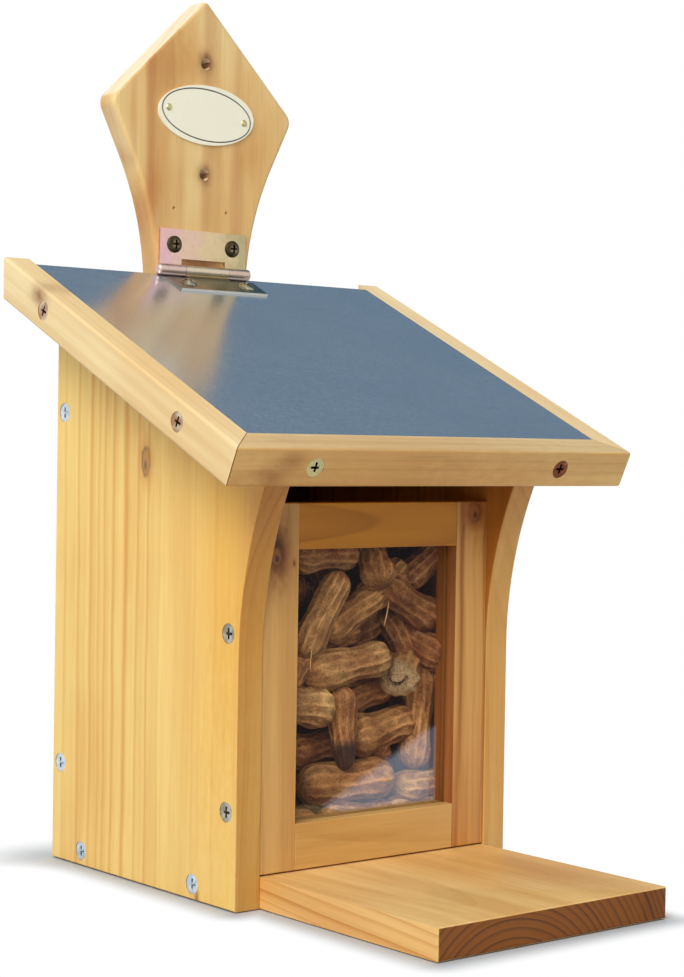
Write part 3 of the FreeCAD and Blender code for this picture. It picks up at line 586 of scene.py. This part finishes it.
def passivated(name, left, middle, right, rolled, cut_edge=None):
    """Zinc with a yellow skin that drifts from one tint to the next along the hinge.

    The rolled part round the pin has a tint of its own, because it was bent after plating. The
    edge that looks along cut_edge is bare and pale.
    """
    f = Finish(name)
    place = f.millimetres()
    drift = f.noise(place.scaled(0.08), 2.0, 2.0)
    grain = f.noise(place.scaled(0.5), 3.0, 3.0)
    low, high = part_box("hinge_leaf_upper")
    centre, half = (low.x + high.x) / 2 * 1000, (high.x - low.x) / 2 * 1000
    along = (place.dot(X) - centre) * (1 / half) + (drift - 0.5) * 2.4
    skin = f.mix(along.step(-1.0, 0.1), linear(*left), linear(*middle))
    skin = f.mix(along.step(0.2, 1.1), skin, linear(*right))
    low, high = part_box("hinge_pin")
    deep = place.dot(Y) - (low.y + high.y) / 2 * 1000
    height = place.dot(Z) - (low.z + high.z) / 2 * 1000
    near_pin = ((deep * deep + height * height) ** 0.5).step(3.2, 2.6)
    skin = f.mix(near_pin * 0.75, skin, linear(*rolled))
    skin = skin.scaled(0.86 + grain * 0.26)
    metallic = 1.0
    if cut_edge:
        bare = f.facing(cut_edge).step(0.75, 0.95) * (1 - near_pin)
        skin = f.mix(bare, skin, linear(*bare_zinc))
        metallic = 1 - bare * 0.85
    return f.surface(bump=grain, depth=0.012, Base_Color=skin, Metallic=metallic,
                     Roughness=0.24 + grain * 0.1)


wear(passivated("yellow_zinc", left=(224, 182, 184), middle=(218, 194, 152),
                right=(184, 170, 128), rolled=(206, 184, 172)),
     "hinge_leaf_upper", "hinge_pin")
wear(passivated("worn_zinc", left=(150, 136, 124), middle=(128, 128, 108),
                right=(122, 124, 108), rolled=(232, 214, 186), cut_edge=downhill),
     "hinge_leaf_lower")

# %% [markdown]
# ## The oval plate
#
# A small enamelled plate is nailed to the hanger. It is left bare but for the thin dark line that
# runs round it inside its rim. The line is the space between two ovals, measured in the plate's
# own directions, because the plate hangs a few degrees out of level.

# %% Finish the oval plate
plate_tilt = math.radians(-4)
plate_half_width, plate_half_height = 25.5, 13.0
line_starts, line_ends = 1.5, 2.1


def enamel():
    f = Finish("cream_enamel")
    low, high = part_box("oval_plate")
    middle = (low + high) / 2 * 1000
    wide = (math.cos(plate_tilt), 0, math.sin(plate_tilt))
    tall = (-math.sin(plate_tilt), 0, math.cos(plate_tilt))
    place = f.millimetres()
    x = place.dot(wide) - middle.dot(Vector(wide))
    z = place.dot(tall) - middle.dot(Vector(tall))

    def oval(inset):
        """Under 1 inside an oval that lies this far inside the plate's edge."""
        a = x * (1 / (plate_half_width - inset))
        b = z * (1 / (plate_half_height - inset))
        return a * a + b * b

    line = oval(line_starts).step(1.02, 0.98) * oval(line_ends).step(0.98, 1.02)
    faint = f.noise(place.scaled(0.25), 1.0, 3.0)
    skin = f.mix(faint * 0.5, linear(252, 248, 224), linear(244, 235, 204))
    skin = f.mix(line, skin, linear(52, 48, 42))
    return f.surface(bump=faint, depth=0.02, Base_Color=skin, Roughness=0.32, Coat_Weight=0.4,
                     Coat_Roughness=0.12)


wear(enamel(), "oval_plate")

# %% [markdown]
# ## The window pane
#
# A thin clear pane hardly bends what is seen through it, and a renderer's glass inside a closed
# box would turn the nuts dark. So the pane is a mirror that is nearly all see-through: what is
# left of it is the small share of the light that clear sheet really throws back, more at a
# grazing angle, which Layer Weight gives.

# %% Finish the pane
share_straight_on, share_at_the_edge, share_of_dust = 0.093, 0.8, 0.012


def clear_pane():
    f = Finish("clear_pane")
    turned_away = f.node("ShaderNodeLayerWeight", None, {"Blend": 0.5}, "Facing")
    dust = f.noise(f.millimetres().scaled(0.6), 1.0, 3.0).step(0.62, 0.75)
    thrown_back = share_straight_on + (turned_away ** 5.0) * share_at_the_edge
    return f.surface(Base_Color=(0.78, 0.84, 1.0, 1), Metallic=1.0, Roughness=0.03,
                     Alpha=thrown_back + dust * share_of_dust)


wear(clear_pane(), "window_pane")

# %% [markdown]
# ## The nuts
#
# Behind the pane lie nuts in their shells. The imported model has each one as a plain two-lobed
# solid, which holds its place in the heap. Here every solid is measured for its middle, its long
# direction and its two sizes, and a ridged shell takes its place. The nuts that lean on the pane
# are the ones that everybody sees, so these are laid one by one as in the photograph.

# %% Measure where each nut lies
class Lie:
    """How one nut lies: its middle, long direction, half length and lobe radius; a nut that is
    listed one by one has its tone too, from 0, brown, to 1, straw."""

    def __init__(self, middle, along, half, radius, tone=None):
        self.middle, self.along = Vector(middle), Vector(along)
        self.half, self.radius, self.tone = half, radius, tone


def measured(points):
    """The lie of a plain nut, from its points."""
    middle = points.mean(0)
    spread = np.linalg.eigh(np.cov((points - middle).T))[1].T[::-1]
    reach = (points - middle) @ spread.T
    middle = middle + (reach.max(0) + reach.min(0)) / 2 @ spread
    along = spread[0] if spread[0][0] + spread[0][2] * 0.01 > 0 else -spread[0]
    sizes = np.ptp(reach, axis=0) / 2
    return Lie(middle, along, float(sizes[0]), float(sizes[1:].mean()))


def measure_heap():
    """The lies of all the plain nuts, in the order of their places."""
    heap = nodes["nuts"].copy()
    heap.data = heap.data.copy()
    bpy.context.scene.collection.objects.link(heap)
    put_down()
    heap.select_set(True)
    bpy.context.view_layer.objects.active = heap
    bpy.ops.object.mode_set(mode="EDIT")
    bpy.ops.mesh.select_all(action="SELECT")
    bpy.ops.mesh.remove_doubles(threshold=1e-5)
    bpy.ops.mesh.separate(type="LOOSE")
    bpy.ops.object.mode_set(mode="OBJECT")
    lies = []
    for single in list(bpy.context.selected_objects):
        lies.append(measured(np.array([v.co for v in single.data.vertices])))
        bpy.data.objects.remove(single)
    return sorted(lies, key=lambda lie: tuple(round(value, 4) for value in lie.middle))


lies = measure_heap()
radii = [lie.radius * 1000 for lie in lies]
print(len(lies), "nuts, lobes", round(min(radii), 1), "to", round(max(radii), 1), "mm")

# %% Lay the nuts that show through the pane
# across, deep, high, lean, heading, half length, lobe radius, tone; in millimetres and degrees
seen_nuts = (
    (-14.3, -47, 133, 1, 3, 17.3, 6.8, 0.35),
    (11.4, -47, 131, 46, 76, 14.5, 7.6, 0.6),
    (19.7, -43, 120.4, 32, 11, 15.2, 6.8, 0.55),
    (-17.4, -50, 109.6, 58, 0, 20.1, 6.9, 0.7),
    (0.9, -46, 109, 27, 4, 18, 7.1, 0.5),
    (40.2, -47, 128.7, -38, 155, 14, 7.2, 0.1),
    (32.5, -46, 113.3, -31, 0, 18.2, 7.8, 0.15),
    (42.2, -43, 95.5, 29, 102, 16, 7.6, 0.1),
    (-3.4, -49, 88.1, 9, -4, 21.8, 8.3, 0.75),
    (33.2, -42, 84.6, -12, -139, 20, 9.4, 0.7),
    (15.2, -37, 75.1, 14, 7, 16.8, 7.2, 0.2),
    (-28.3, -48, 73.4, -7, 0, 17.9, 8.6, 0.85),
    (-6.3, -51, 63.9, -85, -38, 17.6, 6.6, 0.25),
    (19, -43.5, 60.4, 10, 3, 18.5, 8.8, 0.45),
    (38.2, -46, 64.2, -83, 180, 21.7, 7.2, 0.6),
    (-1.3, -47, 41, 2, -10, 22.5, 9, 0.65),
    (41.3, -48, 36, 1, 180, 18, 7.6, 0.8),
    (-4.6, -38, 97.3, 18, 7, 17.5, 7, 0.3),
    (-27.1, -46, 91.1, 46, 0, 14, 7, 0.6),
    (-12.5, -38, 53.9, 4, 8, 14.8, 7.2, 0.1),
    (36, -36, 97.3, 63, 124, 14, 7, 0.1),
    (-34, -47, 25, 0, 4, 18, 8, 0.3),
    (3, -49, 26, 0, -5, 18.5, 7.6, 0.7),
    (32, -48.5, 25.5, 2, 6, 16, 7.6, 0.8),
)
cracked_nut = 9
dark_tipped_nut = 12


def laid(across, deep, high, lean, heading, half, radius, tone):
    """The lie of a nut that is listed one by one."""
    lean, heading = math.radians(lean), math.radians(heading)
    level = (math.cos(heading), math.sin(heading))
    along = (math.cos(lean) * level[0], math.cos(lean) * level[1], math.sin(lean))
    middle = (across / 1000, deep / 1000, high / 1000)
    return Lie(middle, along, half / 1000, radius / 1000, tone)


in_window = [laid(*row) for row in seen_nuts]
window_half_width, window_top, first_layer = 0.046, 0.142, -0.036
too_near = 0.012


def shown_instead(lie):
    """Whether a plain nut lies where one of the listed nuts now lies."""
    across, deep, high = lie.middle
    if abs(across) < window_half_width and deep < first_layer and high < window_top:
        return True
    return min((lie.middle - other.middle).length for other in in_window) < too_near


kept = [lie for lie in lies if not shown_instead(lie)]
print(len(in_window), "nuts at the pane take the place of", len(lies) - len(kept))

# %% [markdown]
# The shell is made by hand once: a small disc is extruded and scaled ring by ring into two lobes
# and a waist. The nuts that can be seen get a finely divided copy with real ridges. The ones
# buried in the heap get a coarse blank, because nobody sees more of them than a dark gap.

# %% Extrude a blank shell
def blank_shell(name, sides, rings):
    """A closed two-lobed shell along X from -1 to 1, its lobes 1 in radius.

    rings are places along X, each with its radius. The flat ends, the only faces with more than
    four corners, are divided from their middles.
    """
    put_down()
    (x, radius), *others = rings
    bpy.ops.mesh.primitive_circle_add(vertices=sides, radius=radius, fill_type="NGON",
                                      location=(x, 0, 0), rotation=(0, math.pi / 2, 0))
    blank = bpy.context.object
    blank.name = name
    bpy.ops.object.transform_apply(location=True, rotation=True, scale=True)
    bpy.ops.object.mode_set(mode="EDIT")
    bpy.ops.mesh.select_all(action="SELECT")
    for next_x, next_radius in others:
        bpy.ops.mesh.extrude_region_move(TRANSFORM_OT_translate={"value": (next_x - x, 0, 0)})
        grow = next_radius / radius
        bpy.ops.transform.resize(value=(1, grow, grow))
        x, radius = next_x, next_radius
    bpy.ops.object.mode_set(mode="OBJECT")
    for face in blank.data.polygons:
        face.select = len(face.vertices) > 4
    bpy.ops.object.mode_set(mode="EDIT")
    bpy.ops.mesh.select_mode(type="FACE")
    bpy.ops.mesh.poke()
    bpy.ops.mesh.select_all(action="SELECT")
    bpy.ops.mesh.normals_make_consistent(inside=False)
    bpy.ops.object.mode_set(mode="OBJECT")
    return blank


fine_rings = [
    (-1.0, 0.10), (-0.975, 0.28), (-0.93, 0.50), (-0.86, 0.73), (-0.76, 0.91), (-0.64, 0.99),
    (-0.50, 0.99), (-0.36, 0.94), (-0.20, 0.88), (-0.04, 0.85), (0.12, 0.85), (0.28, 0.90),
    (0.43, 0.96), (0.58, 1.0), (0.71, 0.96), (0.82, 0.84), (0.90, 0.65), (0.955, 0.42), (1.0, 0.12)]
coarse_rings = [
    (-1.0, 0.2), (-0.86, 0.72), (-0.62, 0.99), (-0.3, 0.90), (0.0, 0.85), (0.3, 0.90),
    (0.62, 0.99), (0.86, 0.72), (1.0, 0.2)]
fine_blank = blank_shell("nut_fine_blank", 48, fine_rings)
coarse_blank = blank_shell("nut_coarse_blank", 14, coarse_rings)
divide = fine_blank.modifiers.new("divide", "SUBSURF")
divide.levels = divide.render_levels = 1
bpy.context.view_layer.objects.active = fine_blank
bpy.ops.object.modifier_apply(modifier=divide.name)
print("a fine shell has", len(fine_blank.data.polygons), "faces, a coarse one",
      len(coarse_blank.data.polygons))

# %% [markdown]
# On a real shell some ten ridges run from end to end, and short ones join them like rungs. Both
# are waves here, one counted round the shell and one along it. A seeded random number gives each
# nut its own turn, bend and waist.

# %% Raise the ridges of one shell
def crests(x, angle, turn):
    """The height of the long ridges and of the short ones that join them, 0 to 1."""
    sway = 0.7 * np.sin(4.1 * x + turn) + 0.4 * np.sin(9.0 * x + 2 * turn + 3 * angle)
    long_ones = (0.5 + 0.5 * np.cos(11 * angle + sway)) ** 2
    lane = np.sin(5.5 * angle + sway / 2) * 2.2
    short_ones = (0.5 + 0.5 * np.cos(17 * x + lane + turn)) ** 3
    return np.maximum(long_ones, 0.65 * short_ones)


def crescent(y, z):
    """1 where the cracked nut's end is broken in, 0 elsewhere; y and z are shares of its radius."""
    return (np.hypot(y, z - 0.15) < 0.48) & (np.hypot(y - 0.05, z - 0.45) > 0.40)


def store(mesh, name, kind, field, values):
    """Keep a value with each point of a mesh, for its finish to read."""
    mesh.attributes.new(name, kind, "POINT").data.foreach_set(field, np.ravel(values))


def store_number(mesh, name, number):
    """Keep one number with all points of a mesh."""
    store(mesh, name, "FLOAT", "value", np.full(len(mesh.vertices), float(number)))


# %% Shape one nut
buried_crest = 0.3


def shaped(blank, lie, number, ridged):
    """A copy of the blank with its own ridges, bend and turn, in its place in the heap."""
    chance = np.random.default_rng(400 + number)
    turn = chance.uniform(0, 2 * math.pi)
    bend = chance.uniform(-0.14, 0.14)
    dent = chance.uniform(-0.12, 0.04)
    if number == cracked_nut:
        turn = bend = 0.0
    mesh = blank.data.copy()
    spots = np.array([v.co for v in mesh.vertices])
    x, angle = spots[:, 0], np.arctan2(spots[:, 2], spots[:, 1])
    smooth_ends = np.clip((1 - np.abs(x)) * 6, 0, 1)
    crest = crests(x, angle, turn) * smooth_ends if ridged else np.full(len(x), buried_crest)
    worn = 0.5 + np.sin(2 * angle + 3.1 * x + 2 * turn) + 0.6 * np.sin(5 * x - turn)
    crest *= 0.45 + 0.55 * np.clip(worn, 0, 1)
    out = 0.945 + 0.105 * crest + 0.030 * np.sin(3 * angle + 4 * x + turn)
    out += 0.025 * np.sin(2 * angle - 7 * x + 3 * turn)
    out += dent * np.sin(np.clip(x, 0, 1) * math.pi)
    if number == dark_tipped_nut:
        out *= 1 - 0.30 * np.clip((x - 0.35) / 0.4, 0, 1)
    spots[:, 1:] *= out[:, None]
    spots[:, 2] += bend * (1 - x ** 2)
    if number == cracked_nut:
        spots[:, 0] -= 0.10 * (x > 0.8) * crescent(spots[:, 1], spots[:, 2])
    local = spots * np.array([lie.half, lie.radius, lie.radius])
    mesh.vertices.foreach_set("co", local.ravel())
    put = lie.along.to_track_quat("X", "Z").to_matrix().to_4x4()
    mesh.transform(Matrix.Translation(lie.middle) @ put @ Matrix.Rotation(turn, 4, "X"))
    mesh.polygons.foreach_set("use_smooth", [True] * len(mesh.polygons))
    store(mesh, "shell", "FLOAT_VECTOR", "vector", local * 1000)
    store(mesh, "crest", "FLOAT", "value", crest)
    # Nuts that are not listed get tones from -0.8 to 0.2, and a low tone also paints them darker as
    # shade in the heap.
    store_number(mesh, "tone", chance.uniform(-0.8, 0.2) if lie.tone is None else lie.tone)
    store_number(mesh, "cracked", number == cracked_nut)
    store_number(mesh, "dark_tip", number == dark_tipped_nut)
    made = bpy.data.objects.new("nut", mesh)
    bpy.context.scene.collection.objects.link(made)
    return made


# %% Join the shells into pieces
def joined(members, name):
    """Make one object of several."""
    put_down()
    for member in members:
        member.select_set(True)
    bpy.context.view_layer.objects.active = members[0]
    bpy.ops.object.join()
    whole = bpy.context.object
    whole.name = name
    return whole


def heap_piece(name, members, blank, ridged, first):
    """Join some nuts, numbered from first, into one piece that rides on the box."""
    shells = [shaped(blank, lie, first + number, ridged) for number, lie in enumerate(members)]
    piece = joined(shells, name)
    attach(piece, "box")
    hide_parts("nuts")
    return piece


top_starts, second_layer = 0.118, -0.018
on_top = [lie for lie in kept if lie.middle.z > top_starts]
under = [lie for lie in kept if lie.middle.z <= top_starts]
behind = [lie for lie in under if lie.middle.y < second_layer]
buried = [lie for lie in under if lie.middle.y >= second_layer]
nut_pieces = [heap_piece("nuts_at_pane", in_window, fine_blank, True, 0),
              heap_piece("nuts_behind_them", behind, fine_blank, True, 100),
              heap_piece("nuts_on_top", on_top, fine_blank, True, 200),
              heap_piece("nuts_buried", buried, coarse_blank, False, 300)]
for blank in (fine_blank, coarse_blank):
    bpy.data.objects.remove(blank)
for piece in nut_pieces:
    triangles = sum(len(face.vertices) - 2 for face in piece.data.polygons)
    print(piece.name, triangles, "triangles")

# %% [markdown]
# Two fine fibres of husk cling to the pane in front of the nuts. Each is a tiny disc, extruded
# along a curve through three places and pointed at both ends.

# %% Hang two husk fibres between the nuts and the pane
fibre_radius, tip_share = 0.0002, 0.25


def fibre(start, bend, end):
    """A fibre that leaves start towards bend and comes from there to end."""
    put_down()
    steps = [((1 - s) ** 2, 2 * s * (1 - s), s * s) for s in np.linspace(0, 1, 9)]
    line = [Vector(start) * a + Vector(bend) * b + Vector(end) * c for a, b, c in steps]
    bpy.ops.mesh.primitive_circle_add(vertices=6, radius=fibre_radius * tip_share,
                                      fill_type="NGON", location=line[0])
    made = bpy.context.object
    bpy.ops.object.transform_apply(location=True, rotation=True, scale=True)
    bpy.ops.object.mode_set(mode="EDIT")
    bpy.ops.mesh.select_all(action="SELECT")
    width = tip_share
    for number, (here, there) in enumerate(zip(line, line[1:])):
        bpy.ops.mesh.extrude_region_move(TRANSFORM_OT_translate={"value": there - here})
        swell = math.sin(math.pi * (number + 1) / len(line))
        wider = tip_share + (1 - tip_share) * swell
        bpy.ops.transform.resize(value=(wider / width,) * 3)
        width = wider
    bpy.ops.mesh.select_all(action="SELECT")
    bpy.ops.mesh.normals_make_consistent(inside=False)
    bpy.ops.object.mode_set(mode="OBJECT")
    store_number(made.data, "tone", 1.0)
    store_number(made.data, "crest", 1.4)
    return made


upper = fibre((0.0135, -0.0555, 0.1145), (0.0132, -0.0550, 0.1095), (0.0110, -0.0555, 0.1044))
lower = fibre((-0.0176, -0.0560, 0.1130), (-0.0275, -0.0560, 0.1040), (-0.0270, -0.0558, 0.0885))
fibres = joined([upper, lower], "husk_fibres")
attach(fibres, "box")
nut_pieces.append(fibres)
print("fibres:", len(fibres.data.vertices), "points")

# %% [markdown]
# A shell is tan on its ridges and darker brown between them, and no two nuts have the same
# tone. The ridges' height was stored with each point, so the colour follows them. A finer net of
# veins comes from a cell pattern that is stretched along each nut, read from the nut's own
# directions. The colour also holds painted shade: it is darker on the sides that face away from
# the light, and the nuts behind the front ones are darker as a whole. One nut's end is torn open,
# pale and fibrous with a dark crack, and the tip of another has gone dark.

# %% Tear the end of one nut
def torn_end(f, skin, own, vein, grit):
    """The skin with pale fibres and a crescent-shaped crack on the end of the cracked nut."""
    cracked = f.stored("cracked")
    along = own.dot(X)
    aside, up = own.dot(Y) + (grit - 0.5) * 6, own.dot(Z) + (grit - 0.5) * 7
    fibrous = vein * 0.5 + grit.step(0.25, 0.75) * 0.6
    pale = f.mix(fibrous, linear(168, 122, 72), linear(255, 232, 178))
    skin = f.mix(cracked * (along + (grit - 0.5) * 12).step(9, 15) * 0.7, skin, pale)
    outer = ((aside ** 2.0 + (up - 2.4) ** 2.0) ** 0.5).step(3.9, 3.4)
    inner = (((aside - 0.4) ** 2.0 + (up - 3.4) ** 2.0) ** 0.5).step(3.1, 3.6)
    return f.mix(cracked * along.step(12, 13) * outer * inner, skin, linear(62, 40, 28))


# %% Finish the nuts
towards_light = (-0.5, -0.3, 0.8)


def nut_shell():
    f = Finish("nut_shell")
    own = f.stored("shell", "Vector")
    crest, tone = f.stored("crest"), f.stored("tone")
    its_own = tone * 9.0
    warp = f.noise(own.scaled(0.25), its_own + 1.0, 2.0, out="Color")
    net = f.vector(own.dot(X) * 0.22 + warp.dot(X) + tone * 40, own.dot(Y) * 0.55 + warp.dot(Y),
                   own.dot(Z) * 0.55 + warp.dot(Z))
    cells = f.node("ShaderNodeTexVoronoi", {"feature": "DISTANCE_TO_EDGE"},
                   {"Vector": net, "Scale": 1.0}, "Distance")
    vein = cells.step(0.0, 0.16, 1.0, 0.0)
    grit = f.noise(own.scaled(1.3), its_own + 3.0, 3.0, 0.7)
    cloud = f.noise(own.scaled(0.12), its_own + 5.0, 2.0)

    skin = f.mix(tone.step(0.0, 0.6), linear(174, 106, 50), linear(208, 150, 82))
    skin = f.mix(tone.step(0.6, 1.0), skin, linear(238, 196, 126))
    skin = f.tinted(cloud.step(0.40, 0.62) * 0.7, skin, (196, 160, 138))
    skin = f.mix(vein * 0.10 + crest * 0.14, skin, linear(238, 208, 154))
    skin = f.tinted(grit.step(0.48, 0.66) * 0.7, skin, (132, 96, 70))
    # painted shade: nuts with a low tone, the ones behind the front ones, are darker as a whole
    painted_heap_shade = tone.step(-0.8, 0.1, 0.35, 1.0)
    skin = skin.scaled((0.52 + crest * 0.76 + grit * 0.62 + vein * 0.10) * painted_heap_shade)
    # painted shade: the colour is darker on the sides that face away from the light
    skin = skin.scaled(f.facing(towards_light).step(-0.6, 0.9, 0.54, 1.22))
    skin = torn_end(f, skin, own, vein, grit)
    dark_tip = f.stored("dark_tip") * (own.dot(X) + (cloud - 0.5) * 6).step(3, 9)
    skin = f.mix(dark_tip * 0.9, skin, linear(62, 42, 40))
    return f.surface(bump=vein * 0.4 + grit * 0.6, depth=0.5, Base_Color=skin, Roughness=0.75)


shells_finish = nut_shell()
for piece in nut_pieces:
    piece.data.materials.clear()
    piece.data.materials.append(shells_finish)
print(shells_finish.name, "goes on", ", ".join(piece.name for piece in nut_pieces))

# %% [markdown]
# ## The floor and the light
#
# The photograph is a product shot on white with one large soft light at the left. The floor is a
# blue-grey matt where the box and its landing board stand and turns plain white within a few
# centimetres of them, further out behind the box, so it keeps their shadow and shows no horizon.
# The grey band is darker than white even where no shadow falls, so it also paints a soft shadow
# round them. The world lights the box from all sides at a lower level than the one that the camera
# and the mirrors see.

# %% Lay the floor
floor_size, under_box = 16, 0.0005
bpy.ops.mesh.primitive_plane_add(size=floor_size, location=(0, 0, -under_box))
floor = bpy.context.object
floor.name = "studio_floor"

# half width, middle and half depth of what stands on the floor, in millimetres
box_outline = (70, 0, 66)
landing_outline = (58, -51, 117)
shadow_reach = 16


def floor_finish():
    f = Finish("studio_floor")
    place = f.millimetres()

    def outside(half_width, middle, half_depth):
        """How far a point lies outside a rectangle on the floor."""
        aside = (place.dot(X).math("ABSOLUTE") - half_width).math("MAXIMUM", 0.0)
        deep = ((place.dot(Y) - middle).math("ABSOLUTE") - half_depth).math("MAXIMUM", 0.0)
        return (aside * aside + deep * deep) ** 0.5

    away = outside(*box_outline).math("MINIMUM", outside(*landing_outline))
    # painted shadow: the blue-grey matt near the box and landing board is darker than the white
    # beyond, and the band is wider behind the box; the real shadow shows in it too
    painted_shadow_wider_behind = place.dot(Y).step(30, 70, 1.0, 0.4)
    plain = (away * painted_shadow_wider_behind).step(0, shadow_reach, 0.02, 1.0) * f.ray_is_shown()
    matt = f.node("ShaderNodeBsdfDiffuse", None, {"Color": (0.55, 0.58, 0.61, 1)})
    white = f.node("ShaderNodeEmission", None, {"Color": (1, 1, 1, 1), "Strength": 1.0})
    return f.ending_in(f.node("ShaderNodeMixShader", None, [plain, matt, white]))


floor.data.materials.append(floor_finish())
print("the shadow reaches", shadow_reach, "mm out in front")

# %% Set the world
room_level = 0.36
studio = Finish("studio_white", of_world=True)
level = studio.ray_is_shown().step(0, 1, room_level, 1.0)
room = studio.node("ShaderNodeBackground", None, {"Color": (1, 1, 1, 1), "Strength": level})
bpy.context.scene.world = studio.ending_in(room)
print("the room's light on the box is", room_level, "of white")


# %% Hang the lamps
def soft_lamp(name, place, size, level, colour=(1, 1, 1), in_mirrors=False):
    """A square lamp, turned to the box, that lights a white card there to this level."""
    bpy.ops.object.light_add(type="AREA", location=place)
    lamp = bpy.context.object
    lamp.name = name
    away = middle_of_box - Vector(place)
    lamp.rotation_euler = away.to_track_quat("-Z", "Y").to_euler()
    lamp.data.size = size
    lamp.data.energy = level * math.pi ** 2 * away.length_squared
    lamp.data.color = colour
    lamp.visible_glossy = in_mirrors
    print(name, round(lamp.data.energy, 1), "W")


soft_lamp("key_lamp", (-1.35, -0.75, 1.25), 1.1, 0.78, (1.0, 0.985, 0.96), in_mirrors=True)
soft_lamp("fill_lamp", (0.5, -1.8, 0.7), 1.4, 0.10)
soft_lamp("sky_lamp", (0.5, 0.75, 1.7), 1.2, 0.30, (0.86, 0.94, 1.0))

# %% [markdown]
# The roof sheet mirrors what is above and behind the box, and the pane what is at its front
# right. In a white room both would look washed out, so a blue-grey card and a low dark one hang
# there, which only mirrors see.

# %% Hang the cards that only mirrors see
def card(name, place, aim, width, height, shade):
    """A glowing card that shows in mirrors and lights nothing else."""
    bpy.ops.mesh.primitive_plane_add(size=1, location=place)
    made = bpy.context.object
    made.name = name
    away = Vector(aim) - Vector(place)
    made.rotation_euler = away.to_track_quat("Z", "Y").to_euler()
    made.scale = (width, height, 1)
    f = Finish(name)
    glow = f.node("ShaderNodeEmission", None, {"Color": linear(*shade), "Strength": 1.0})
    made.data.materials.append(f.ending_in(glow))
    for ray in ("camera", "diffuse", "transmission", "volume_scatter", "shadow"):
        setattr(made, "visible_" + ray, False)
    print(name, width, "by", height, "m")


card("sky_card", place=(1.22, 1.08, 1.33), aim=(0, 0, 0.2), width=3.4, height=3.0,
     shade=(95, 123, 146))
card("dark_room_card", place=(0.591, -0.5995, 0.08), aim=(1.211, 0.1845, 0.08), width=1.553,
     height=0.16, shade=(70, 66, 62))

# %% Set the view transform
bpy.context.scene.view_settings.view_transform = "Standard"
